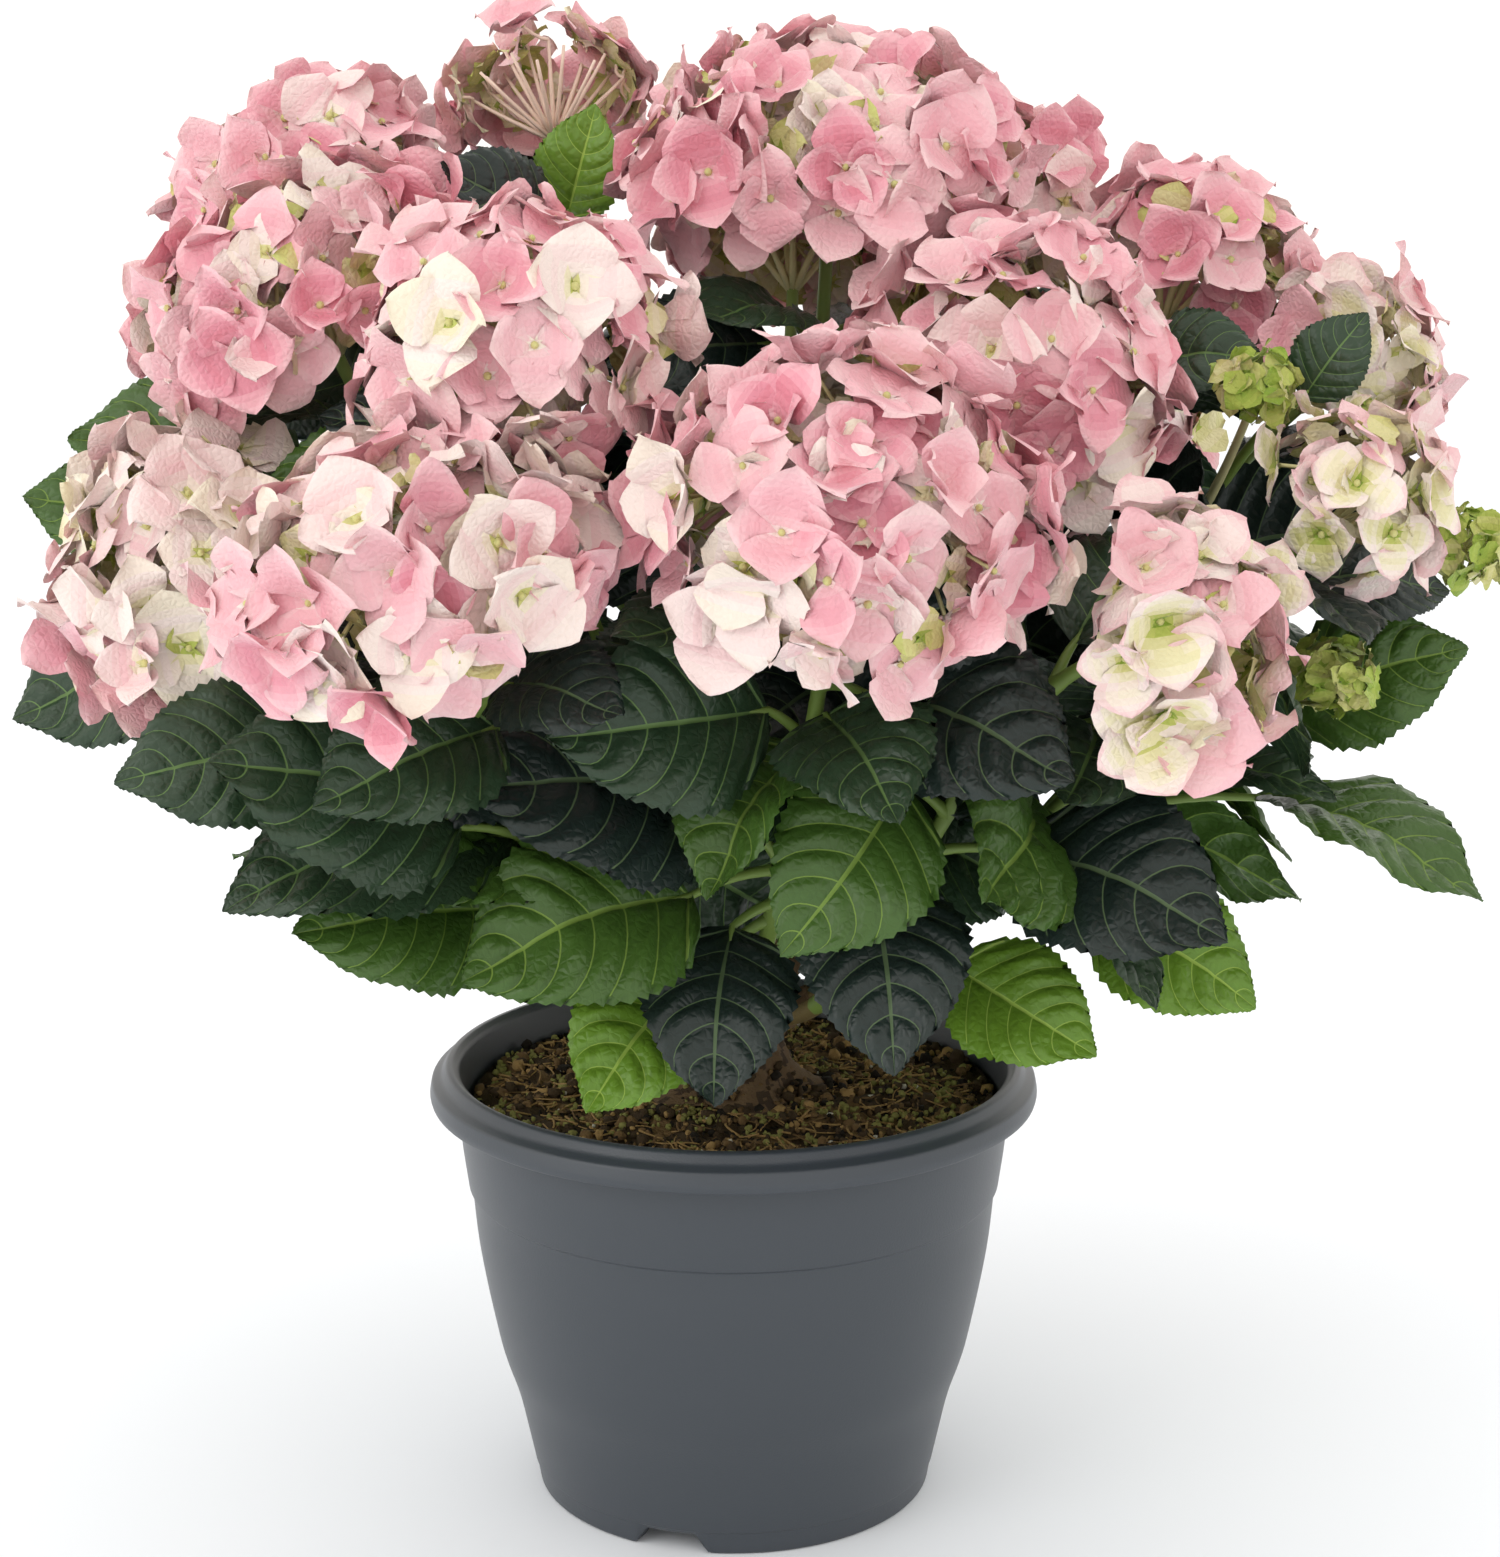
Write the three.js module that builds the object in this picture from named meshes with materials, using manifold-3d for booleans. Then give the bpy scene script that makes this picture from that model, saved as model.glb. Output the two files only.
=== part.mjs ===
// A potted hydrangea shrub: a nursery pot filled with soil, a short woody crown, and shoots that each
// end in a mophead bloom. Millimetres, +Z up, origin at the centre of the pot's underside, front at -Y.

import * as THREE from "three";
import { mergeVertices } from "three/addons/utils/BufferGeometryUtils.js";
import Module from "manifold-3d";

const wasm = await Module();
wasm.setup();

// ---------------------------------------------------------------- driving dimensions

const GAP = 0.35; // air between neighbouring solids
const DEG = Math.PI / 180;

// Pot
const RIM_RADIUS = 115;
const POT_HEIGHT = 167.4;
const POT_SIDES = 28;
const WALL = 2.2;
const FOOT_RADIUS = 75.5;
const FOOT_RING_INNER = 67;
const RECESS_HEIGHT = 7.5;
const BASE_TOP = 10;
const BOSS_RADIUS = 21;
const NOTCH_COUNT = 3;
const NOTCH_TOP = 18;
const NOTCH_FOOT = 28;
const NOTCH_AZIMUTH = 252.2;
const DRAIN_COUNT = 6;
const DRAIN_RADIUS = 4.5;
const DRAIN_RING = 46;

// Soil
const SOIL_LEVEL = 155.6;
const SOIL_LUMP = 2.6;

// Woody crown
const CROWN_FOOT = SOIL_LEVEL + GAP;
const CROWN_SIDES = 10;
const CROWN_LEAN = 0.08;
const KNUCKLE_CENTRE = new THREE.Vector3(2, -1, CROWN_FOOT + 25);
const KNUCKLE_RADIUS = 19;
const STUB_REACH = 33;
const STUB_RADIUS = 4.2;
const STUB_SIDES = 4;

// Shoots: limb from the crown, leafy twig, then the flower stalk
const LIMB_END = 0.24;
const TWIG_END = 0.88;
const SHOOT_FOOT_RADIUS = 3.5;
const SHOOT_TIP_RADIUS = 2.3;
const SHOOT_SIDES = 5;
const STALK_SUNK = 0.7; // of the head's radius, where the flower stalk ends inside it
const MOST_PAIRS = 4;

// Leaves
const LEAF_THICKNESS = 2.2;
const LEAF_WIDTH = 0.7; // of the blade's length
const LEAF_ARCH = 0.1; // of the blade's length
const LEAF_FOLD = 0.18; // rise of the margins, of the half width
const PETIOLE_FOOT_RADIUS = 2.1;
const PETIOLE_TIP_RADIUS = 1.4;
const PETIOLE_RINGS = [0.04, 1];
const FREE_PETIOLE = 0.35; // of the petiole's length, from where it clears its neighbours
const BLADE_RINGS = [0.16, 0.5, 0.84];
const REACH_SIDE = 262;
const REACH_FRONT = 222;
const LEAF_FLOOR = 174;
const UP = new THREE.Vector3(0, 0, 1);
const OUTER_FACING = new THREE.Vector3(0, -1, 0.7); // what the upper faces of the outer leaves turn to

// Florets
const FLORET_LIMIT = 100; // degrees from the head's axis
const FLORET_OVERLAP = 0.87;
const FLORET_SHARE = 2600; // dome area in square millimetres to a floret
const SEPAL_LIFT = 0.12; // of the floret's size
const CORE_INSET = 6;
const FEWEST_FLORETS = 8;
const GOLDEN_TURN = 137.508;

// name, head centre, head radius, flatness, lean of the head, azimuth of the lean, leaf pairs, tone
const SHOOTS = [
  ["a", [-71, 92, 524], 40, 0.6, 22, 110, 3, "pink"], // top, left and behind
  ["b", [-157, 62, 490], 53, 0.6, 26, 160, 3, "pink"], // upper left, behind
  ["c", [-146, -38, 454], 61, 0.62, 26, 215, 3, "pink"], // upper left
  ["d", [-68, -112, 441], 49, 0.93, 32, 262, 3, "pale"], // upper left, near the middle
  ["e", [34, 14, 494], 73, 0.62, 8, 270, 4, "pink"], // top middle, widest
  ["f", [104, 104, 482], 38, 0.9, 25, 40, 3, "pink"], // upper right, behind
  ["g", [172, 50, 456], 43, 0.85, 32, 15, 3, "pink"], // upper right
  ["h", [221, 4, 425], 29, 1.2, 50, 350, 3, "green"], // far right
  ["i", [207, -80, 388], 28, 1.15, 45, 315, 3, "green"], // right
  ["j", [94, -52, 422], 54, 1.12, 34, 300, 3, "pink"], // right of the middle
  ["k", [35, -152, 390], 64, 0.82, 28, 280, 3, "pink"], // front middle
  ["l", [-98, -160, 374], 60, 0.66, 26, 242, 3, "cream"], // front left
  ["m", [-186, -68, 363], 52, 0.8, 72, 205, 3, "cream"], // far left
  ["n", [142, -150, 353], 42, 0.64, 78, 325, 2, "green"], // front right, tipped over
  ["o", [24, 158, 466], 50, 0.8, 30, 88, 3, "pink"], // back, high
  ["p", [-132, 166, 408], 50, 0.8, 45, 128, 3, "pale"], // back left
  ["q", [150, 168, 400], 50, 0.8, 45, 48, 3, "cream"], // back right
  ["r", [4, 192, 346], 46, 0.85, 55, 92, 3, "pink"], // back, low
];

// Young heads without open florets: shoot, place on its axis, centre, radius
const YOUNG_HEADS = [
  ["h", 0.62, [262, -22, 364], 15],
  ["i", 0.72, [203, -92, 330], 13],
  ["h", 0.8, [182, -46, 424], 12],
];

// Large leaves that set the outline: shoot, place on its axis, blade's base, blade's tip, roll, fold
const OUTER_LEAVES = [
  ["a", 0.8, [-62, 46, 478], [-50, 34, 520], 0, 0.2],
  ["a", 0.7, [-66, 12, 470], [-102, -18, 500], 0, 0.2],
  ["e", 0.72, [14, -8, 436], [-44, -34, 430], 0, 0.15],
  ["e", 0.62, [8, 2, 440], [-34, -38, 404], 0, 0.15],
  ["e", 0.66, [58, 18, 438], [116, 16, 436], 0, 0.2],
  ["c", 0.66, [-158, 16, 392], [-240, -6, 402], 0, 0.15],
  ["m", 0.66, [-188, 14, 366], [-260, 4, 380], 0, 0.15],
  ["m", 0.52, [-186, 2, 330], [-264, -12, 300], 0, 0.2],
  ["d", 0.7, [-104, -64, 386], [-160, -92, 390], 0, 0.3],
  ["l", 0.66, [-136, -108, 313], [-200, -140, 305], 0, 0.12],
  ["l", 0.55, [-90, -114, 284], [-164, -168, 318], 0, 0.2],
  ["m", 0.34, [-104, -48, 268], [-155, -80, 256], 0, 0.15],
  ["k", 0.62, [-6, -92, 286], [-88, -150, 306], 0, 0.15],
  ["l", 0.78, [-76, -134, 322], [-130, -180, 306], 0, 0.3],
  ["l", 0.36, [-80, -78, 246], [-147, -122, 249], 0, 0.15],
  ["k", 0.42, [-14, -98, 256], [-88, -148, 240], 0, 0.15],
  ["k", 0.3, [-14, -62, 216], [-50, -110, 182], 0, 0.15],
  ["k", 0.34, [0, -80, 240], [-6, -132, 192], 0, 0.15],
  ["n", 0.34, [46, -90, 262], [54, -142, 206], 0, 0.15],
  ["k", 0.8, [44, -116, 330], [108, -170, 312], 0, 0.15],
  ["d", 0.55, [-14, -84, 336], [-46, -128, 322], 0, 0.25],
  ["k", 0.7, [26, -110, 310], [-8, -150, 268], 30, 0.7],
  ["n", 0.48, [96, -84, 268], [164, -134, 250], 0, 0.15],
  ["n", 0.3, [78, -58, 220], [127, -90, 196], 0, 0.15],
  ["i", 0.3, [128, -46, 236], [186, -66, 206], 0, 0.15],
  ["i", 0.52, [160, -62, 291], [208, -84, 286], -40, 0.2],
  ["i", 0.42, [186, -48, 279], [258, -92, 252], -42, 0.2],
  ["h", 0.5, [198, -36, 306], [258, -52, 334], 0, 0.15],
  ["h", 0.82, [198, -44, 420], [218, -50, 450], 0, 0.15],
  ["j", 0.55, [96, -56, 352], [52, -104, 348], 0, 0.15],
  ["g", 0.72, [146, 2, 424], [186, -28, 434], 0, 0.2],
];

// The attempts of a leaf to find room: turn and lift in degrees, share of its full size
const ATTEMPTS = [
  [0, 0, 1], [26, 10, 1], [-26, 10, 1], [0, -12, 0.85], [45, 0, 0.85], [-45, 0, 0.85], [14, 30, 0.75],
  [-14, 30, 0.75],
];

// ---------------------------------------------------------------- draws, vectors and solids

function seededDraw(seed) {
  let state = seed;
  return () => {
    state = (state * 1664525 + 1013904223) % 4294967296;
    return state / 4294967296;
  };
}

const vector = (list) => new THREE.Vector3(...list);
const mix = (from, to, share) => from + (to - from) * share;

// Unit vector toward an azimuth, raised above the horizontal
function toward(azimuth, rise) {
  const level = Math.cos(rise * DEG);
  return new THREE.Vector3(
    Math.cos(azimuth * DEG) * level,
    Math.sin(azimuth * DEG) * level,
    Math.sin(rise * DEG),
  );
}

// The part of a vector square to an axis, made a unit vector
function squareTo(axis, wish) {
  return wish.clone().addScaledVector(axis, -wish.dot(axis)).normalize();
}

function reshape(geometry, move) {
  const place = geometry.attributes.position;
  const point = new THREE.Vector3();
  for (let i = 0; i < place.count; i++) {
    point.fromBufferAttribute(place, i);
    const moved = move(point);
    place.setXYZ(i, moved.x, moved.y, moved.z);
  }
  return geometry;
}

function toSolid(geometry) {
  geometry.deleteAttribute("normal");
  geometry.deleteAttribute("uv");
  const merged = mergeVertices(geometry, 1e-4);
  return new wasm.Manifold(new wasm.Mesh({
    numProp: 3,
    vertProperties: Float32Array.from(merged.attributes.position.array),
    triVerts: Uint32Array.from(merged.index.array),
  }));
}

// The largest single body of a solid, with sealed hollows filled and scraps dropped
function wholeBody(solid) {
  const bodies = solid.decompose().filter((body) => body.volume() > 0);
  return bodies.sort((one, two) => two.volume() - one.volume())[0];
}

function fuse(solids) {
  return wholeBody(wasm.Manifold.union(solids));
}

function toMesh(name, solid, material) {
  const mesh = solid.getMesh();
  const geometry = new THREE.BufferGeometry();
  geometry.setAttribute("position", new THREE.BufferAttribute(mesh.vertProperties, 3));
  geometry.setIndex(new THREE.BufferAttribute(mesh.triVerts, 1));
  geometry.computeVertexNormals();
  const node = new THREE.Mesh(geometry, material);
  node.name = name;
  return node;
}

// ---------------------------------------------------------------- limbs, leaves and florets

// A tapering limb along a route between two of its places, square-cut at both ends
function limb(route, side, from, to, footRadius, tipRadius, sides, steps) {
  const geometry = new THREE.CylinderGeometry(1, 1, 1, sides, steps);
  return toSolid(reshape(geometry, (point) => {
    const along = point.y + 0.5;
    const place = mix(from, to, along);
    const tangent = route.getTangent(place);
    const across = squareTo(tangent, side);
    const other = across.clone().cross(tangent);
    const radius = mix(footRadius, tipRadius, along);
    return route.getPoint(place)
      .addScaledVector(across, point.x * radius)
      .addScaledVector(other, point.z * radius);
  }));
}

// Half width of a blade, as a share of its greatest half width
function bladeOutline(along) {
  return Math.pow(Math.sin(Math.PI * Math.pow(along, 0.82)), 0.85);
}

// The directions of a blade: along it, across it and out of its upper face, which turns to what it faces
function bladeFrame(base, tip, roll, facing) {
  const along = tip.clone().sub(base).normalize();
  const normal = squareTo(along, facing).applyAxisAngle(along, roll * DEG);
  return { along, normal, across: normal.clone().cross(along) };
}

// Height of a blade's arch over the straight line from its base to its tip
function bladeArch(share, length) {
  return LEAF_ARCH * length * 4 * share * (1 - share);
}

// A leaf in one piece: a petiole that starts inside the twig and widens into an arched, folded blade
function leaf(root, base, tip, roll, fold, facing) {
  const length = base.distanceTo(tip);
  const frame = bladeFrame(base, tip, roll, facing);
  const bend = root.clone().lerp(base, 0.55).add(new THREE.Vector3(0, 0, 0.12 * root.distanceTo(base)));
  const petiole = new THREE.QuadraticBezierCurve3(root, bend, base);
  const lastRing = PETIOLE_RINGS.length + BLADE_RINGS.length + 1;
  const geometry = new THREE.SphereGeometry(1, 4, lastRing);
  return toSolid(reshape(geometry, (point) => {
    const ring = Math.round((Math.acos(THREE.MathUtils.clamp(point.y, -1, 1)) / Math.PI) * lastRing);
    const isPole = ring === 0 || ring === lastRing;
    const rim = !isPole && Math.abs(point.x) > Math.abs(point.z) ? Math.sign(point.x) : 0;
    const face = !isPole && rim === 0 ? Math.sign(point.z) : 0;
    if (ring <= PETIOLE_RINGS.length) {
      const share = ring === 0 ? 0 : PETIOLE_RINGS[ring - 1];
      const radius = mix(PETIOLE_FOOT_RADIUS, PETIOLE_TIP_RADIUS, share);
      const tangent = petiole.getTangent(share);
      const across = squareTo(tangent, frame.across);
      return petiole.getPoint(share)
        .addScaledVector(across, rim * radius)
        .addScaledVector(tangent.clone().cross(across), face * radius);
    }
    const share = ring === lastRing ? 1 : BLADE_RINGS[ring - PETIOLE_RINGS.length - 1];
    const halfWidth = (LEAF_WIDTH / 2) * length * bladeOutline(share);
    const lift = bladeArch(share, length) + fold * halfWidth * Math.abs(rim) + face * LEAF_THICKNESS / 2;
    return base.clone()
      .addScaledVector(frame.along, share * length)
      .addScaledVector(frame.across, rim * halfWidth)
      .addScaledVector(frame.normal, lift);
  }));
}

// Directions of a head: its axis and two directions square to it
function headFrame(lean, azimuth) {
  const axis = toward(azimuth, 90 - lean);
  const first = squareTo(axis, toward(azimuth + 90, 0));
  return { axis, first, second: axis.clone().cross(first) };
}

// A point of a head at a polar angle and a turn about its axis
function headPoint(head, radius, polar, turn) {
  const { axis, first, second } = head.frame;
  const below = Math.max(0, polar - 90) / 90;
  const drawnIn = radius * (1 - 0.42 * below);
  return head.centre.clone()
    .addScaledVector(axis, drawnIn * head.flatness * Math.cos(polar * DEG))
    .addScaledVector(first, drawnIn * Math.sin(polar * DEG) * Math.cos(turn * DEG))
    .addScaledVector(second, drawnIn * Math.sin(polar * DEG) * Math.sin(turn * DEG));
}

// The core that the florets stand out of
function headCore(head) {
  const geometry = new THREE.SphereGeometry(1, 8, 5);
  return toSolid(reshape(geometry, (point) => {
    const polar = Math.acos(THREE.MathUtils.clamp(point.y, -1, 1)) / DEG;
    const turn = Math.atan2(point.z, point.x) / DEG;
    return headPoint(head, head.radius - CORE_INSET, polar, -turn);
  }));
}

// A floret: four broad sepals whose tips are its corners, sunk into the core by its lower point
function floret(centre, outward, size, spin) {
  const first = squareTo(outward, toward(spin, 0));
  const second = first.clone().cross(outward);
  const geometry = new THREE.SphereGeometry(1, 4, 2);
  return toSolid(reshape(geometry, (point) => {
    const onRim = Math.abs(point.y) < 0.5;
    const poleHeight = point.y > 0 ? 0.05 * size : -0.45 * size;
    return centre.clone()
      .addScaledVector(first, size * point.x)
      .addScaledVector(second, size * point.z)
      .addScaledVector(outward, onRim ? SEPAL_LIFT * size : poleHeight);
  }));
}

// Where the florets of a head sit, spread evenly over its dome by the golden turn
function floretPlaces(head, count, seed) {
  const draw = seededDraw(seed);
  const floor = Math.cos(FLORET_LIMIT * DEG);
  const places = [];
  for (let i = 0; i < count; i++) {
    const polar = Math.acos(mix(1, floor, (i + 0.5) / count)) / DEG;
    const turn = i * GOLDEN_TURN + 14 * (draw() - 0.5);
    const centre = headPoint(head, head.radius * (0.94 + 0.05 * draw()), polar, turn);
    const middle = headPoint(head, head.radius * 0.12, 180, 0);
    places.push({ centre, outward: centre.clone().sub(middle).normalize(), spin: 360 * draw() });
  }
  return places;
}

// ---------------------------------------------------------------- pot, soil and crown

// Outer wall of the pot from the foot to the underside of the lip: radius, height
const OUTER_WALL = [
  [FOOT_RADIUS, 0.8],
  [78.6, 15],
  [83.5, 38],
  [89.3, 54],
  [94.6, 80],
  [97.8, 99],
  [99.6, 119.5],
  [100.9, 120.5],
  [103.2, 137],
  [104.5, 154],
];

function potWall() {
  const foot = [[0, 0], [BOSS_RADIUS, 0], [BOSS_RADIUS, RECESS_HEIGHT], [FOOT_RING_INNER, RECESS_HEIGHT]];
  const ring = [[FOOT_RING_INNER + 1, 0], [FOOT_RADIUS - 1, 0]];
  const lip = [
    [104.5, 162], [RIM_RADIUS - 3.4, 162], [RIM_RADIUS - 2.8, 153.9], [RIM_RADIUS - 1.2, 153.9],
    [RIM_RADIUS, 157.5], [RIM_RADIUS - 1, 161], [RIM_RADIUS - 5, 164], [RIM_RADIUS - 8.4, POT_HEIGHT],
  ];
  const inner = innerWall();
  const profile = [...foot, ...ring, ...OUTER_WALL, ...lip, ...inner, [0, BASE_TOP]];
  return new THREE.LatheGeometry(profile.map(([x, y]) => new THREE.Vector2(x, y)), POT_SIDES);
}

// Inner wall from the mouth down to the base
function innerWall() {
  const outerFace = [[102.3, 152], [101, 126], [94.6, 80], [83.5, 38]];
  const points = outerFace.map(([radius, height]) => [radius - WALL, height]);
  return [[RIM_RADIUS - 11.4, POT_HEIGHT - 2], ...points, [FOOT_RADIUS - 1.5, BASE_TOP]];
}

// LatheGeometry turns about Y; the plant's upright is Z
function upright(geometry) {
  return geometry.rotateX(90 * DEG);
}

function drainNotch(azimuth) {
  const outline = new THREE.Shape([
    new THREE.Vector2(-NOTCH_FOOT / 2, -1),
    new THREE.Vector2(NOTCH_FOOT / 2, -1),
    new THREE.Vector2(NOTCH_TOP / 2, RECESS_HEIGHT),
    new THREE.Vector2(-NOTCH_TOP / 2, RECESS_HEIGHT),
  ]);
  const depth = 24;
  const geometry = new THREE.ExtrudeGeometry(outline, { depth, bevelEnabled: false });
  geometry.rotateX(90 * DEG);
  geometry.translate(0, -(FOOT_RADIUS - 14), 0);
  geometry.rotateZ((azimuth - 270) * DEG);
  return toSolid(geometry);
}

function drainHole(azimuth) {
  const geometry = upright(new THREE.CylinderGeometry(DRAIN_RADIUS, DRAIN_RADIUS, 8, 8));
  const centre = toward(azimuth, 0).multiplyScalar(DRAIN_RING);
  geometry.translate(centre.x, centre.y, RECESS_HEIGHT + 1);
  return toSolid(geometry);
}

function pot() {
  let solid = toSolid(upright(potWall()));
  for (let i = 0; i < NOTCH_COUNT; i++) {
    solid = solid.subtract(drainNotch(NOTCH_AZIMUTH + (i * 360) / NOTCH_COUNT));
  }
  for (let i = 0; i < DRAIN_COUNT; i++) {
    solid = solid.subtract(drainHole(((i + 0.5) * 360) / DRAIN_COUNT));
  }
  return wholeBody(solid);
}

// Height of the soil: lumpy, level under the crown
function soilHeight(x, y) {
  const distance = Math.hypot(x, y);
  const lumps = Math.sin(x * 0.11 + 1.3) * Math.cos(y * 0.09 - 0.4)
    + 0.6 * Math.sin(x * 0.21 - y * 0.17 + 2.1)
    + 0.4 * Math.cos(x * 0.33 + y * 0.29);
  const share = THREE.MathUtils.smoothstep(distance, 38, 56);
  return SOIL_LEVEL + SOIL_LUMP * (0.5 * lumps - 0.9) * share;
}

function soil() {
  const wall = innerWall().slice(1).reverse();
  const side = wall.map(([radius, height]) => [radius - GAP - 0.3, height]);
  side[0] = [side[0][0] - 0.6, BASE_TOP + GAP];
  side[side.length - 1] = [side[side.length - 1][0] - 0.1, SOIL_LEVEL - 2];
  const top = [[86, SOIL_LEVEL], [72, SOIL_LEVEL], [56, SOIL_LEVEL], [38, SOIL_LEVEL], [0, SOIL_LEVEL]];
  const profile = [[0, BASE_TOP + GAP], ...side, ...top].map(([x, y]) => new THREE.Vector2(x, y));
  const geometry = upright(new THREE.LatheGeometry(profile, POT_SIDES));
  return toSolid(reshape(geometry, (point) => {
    if (point.z > SOIL_LEVEL - 3) {
      point.z = soilHeight(point.x, point.y);
    }
    return point;
  }));
}

// Directions in which the shoots leave the crown: each toward its head, pushed apart until all have room
function shootDirections() {
  const directions = SHOOTS.map(([, centre]) => {
    const outward = vector(centre).sub(KNUCKLE_CENTRE);
    const azimuth = Math.atan2(outward.y, outward.x) / DEG;
    const polar = Math.atan2(Math.hypot(outward.x, outward.y), outward.z) / DEG;
    return toward(azimuth, 90 - 1.15 * polar);
  });
  const room = 2 * Math.sin(15 * DEG);
  for (let round = 0; round < 60; round++) {
    for (const one of directions) {
      for (const two of directions) {
        const apart = one.distanceTo(two);
        if (one !== two && apart < room) {
          const push = one.clone().sub(two).multiplyScalar((0.3 * (room - apart)) / apart);
          one.add(push).normalize();
          two.sub(push).normalize();
        }
      }
      one.z = Math.max(one.z, 0.12);
      one.normalize();
    }
  }
  return directions;
}

// The trunk: flared at the soil, drawn in, then a rounded knuckle with a stub for every shoot
function crown(directions) {
  const top = KNUCKLE_CENTRE.z + KNUCKLE_RADIUS;
  const profile = [
    [0, CROWN_FOOT], [33, CROWN_FOOT], [26, CROWN_FOOT + 4], [20, CROWN_FOOT + 11], [17.5, CROWN_FOOT + 18],
    [KNUCKLE_RADIUS, CROWN_FOOT + 26], [16.5, top - 9], [10, top - 3], [0, top],
  ].map(([x, y]) => new THREE.Vector2(x, y));
  const trunk = upright(new THREE.LatheGeometry(profile, CROWN_SIDES));
  const body = toSolid(reshape(trunk, (point) => {
    const height = point.z - CROWN_FOOT;
    const flare = 1 + 0.16 * Math.cos(5 * Math.atan2(point.y, point.x)) * Math.max(0, 1 - height / 16);
    point.x = point.x * flare + CROWN_LEAN * height;
    point.y = point.y * flare - 0.5 * CROWN_LEAN * height;
    return point;
  }));
  const stubs = directions.map((direction) => {
    const route = new THREE.LineCurve3(
      KNUCKLE_CENTRE.clone().addScaledVector(direction, 6),
      KNUCKLE_CENTRE.clone().addScaledVector(direction, STUB_REACH),
    );
    const side = new THREE.Vector3(-direction.y, direction.x, 0).normalize();
    return limb(route, side, 0, 1, STUB_RADIUS + 1.2, STUB_RADIUS - 0.4, STUB_SIDES, 1);
  });
  return fuse([body, ...stubs]);
}

// ---------------------------------------------------------------- shoots

function makeShoot([name, centre, radius, flatness, lean, azimuth, pairs, tone], index, direction) {
  const head = { centre: vector(centre), radius, flatness, frame: headFrame(lean, azimuth) };
  const foot = KNUCKLE_CENTRE.clone().addScaledVector(direction, STUB_REACH + GAP + 0.1);
  const end = headPoint(head, STALK_SUNK * radius, 180, 0);
  const span = foot.distanceTo(end);
  const route = new THREE.CubicBezierCurve3(
    foot,
    foot.clone().addScaledVector(direction, 0.26 * span),
    end.clone().addScaledVector(head.frame.axis, -0.32 * span),
    end,
  );
  const level = Math.atan2(direction.y, direction.x);
  const side = new THREE.Vector3(-Math.sin(level), Math.cos(level), 0);
  const draw = seededDraw(1000 + 77 * index);
  return { name, index, head, pairs, tone, route, side, span, draw, azimuth: level / DEG };
}

function shootRadius(place) {
  return mix(SHOOT_FOOT_RADIUS, SHOOT_TIP_RADIUS, place);
}

function shootPiece(shoot, from, to, steps) {
  return limb(shoot.route, shoot.side, from, to, shootRadius(from), shootRadius(to), SHOOT_SIDES, steps);
}

// Solids already placed, which new leaves and florets keep clear of
const placed = [];

function remember(solid, owner) {
  placed.push({ solid, owner, box: solid.boundingBox() });
}

function boxesMeet(one, two) {
  for (let axis = 0; axis < 3; axis++) {
    if (one.min[axis] - GAP > two.max[axis] || two.min[axis] - GAP > one.max[axis]) {
      return false;
    }
  }
  return true;
}

// Whether a solid keeps clear of everything placed, apart from what its own kin allows
function hasRoom(solid, isKin) {
  const box = solid.boundingBox();
  return placed.every(({ solid: other, owner, box: otherBox }) =>
    isKin(owner) || !boxesMeet(box, otherBox) || solid.minGap(other, GAP) >= GAP);
}

function insideReach(tip) {
  return Math.hypot(tip.x / REACH_SIDE, tip.y / REACH_FRONT) < 1 && tip.z > LEAF_FLOOR;
}

// A leaf is added when it finds room; only the foot of its petiole may touch its own twig and leaves
function addLeaf(shoot, place, base, tip, roll, fold, facing) {
  const root = shoot.route.getPoint(place);
  const grown = leaf(root, base, tip, roll, fold, facing);
  const free = leaf(root.clone().lerp(base, FREE_PETIOLE), base, tip, roll, fold, facing);
  const twig = `twig_${shoot.name}`;
  const leaves = `leaf_${shoot.name}`;
  const clearOfOthers = hasRoom(grown, (owner) => owner === twig || owner === leaves);
  if (!clearOfOthers || !hasRoom(free, (owner) => owner === twig)) {
    return false;
  }
  shoot.pieces.push(grown);
  remember(grown, leaves);
  return true;
}

// A crossed pair of leaves on the twig, larger near its foot
function addLeafPair(shoot, pair) {
  const { draw, pairs, route, azimuth: level } = shoot;
  const share = pair / (pairs - 1);
  const place = mix(LIMB_END + 0.05, TWIG_END - 0.06, share);
  const root = route.getPoint(place);
  const spread = pair % 2 === 0 ? 40 : 92;
  for (const hand of [-1, 1]) {
    const azimuth = level + hand * spread + 30 * (draw() - 0.5);
    const petioleLength = mix(34, 20, share) * (0.85 + 0.3 * draw());
    const bladeLength = mix(98, 68, share) * (0.88 + 0.24 * draw());
    const rise = mix(-16, 4, share) + 24 * (draw() - 0.5);
    const roll = 60 * (draw() - 0.5);
    ATTEMPTS.some(([sway, lift, size]) => {
      const base = root.clone().addScaledVector(toward(azimuth + sway, 38 + lift / 2), petioleLength);
      const tip = base.clone().addScaledVector(toward(azimuth + sway, rise + lift), size * bladeLength);
      const facing = new THREE.Vector3(base.x, base.y, 0).normalize().add(UP);
      return insideReach(tip) && addLeaf(shoot, place, base, tip, roll, LEAF_FOLD, facing);
    });
  }
}

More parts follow.
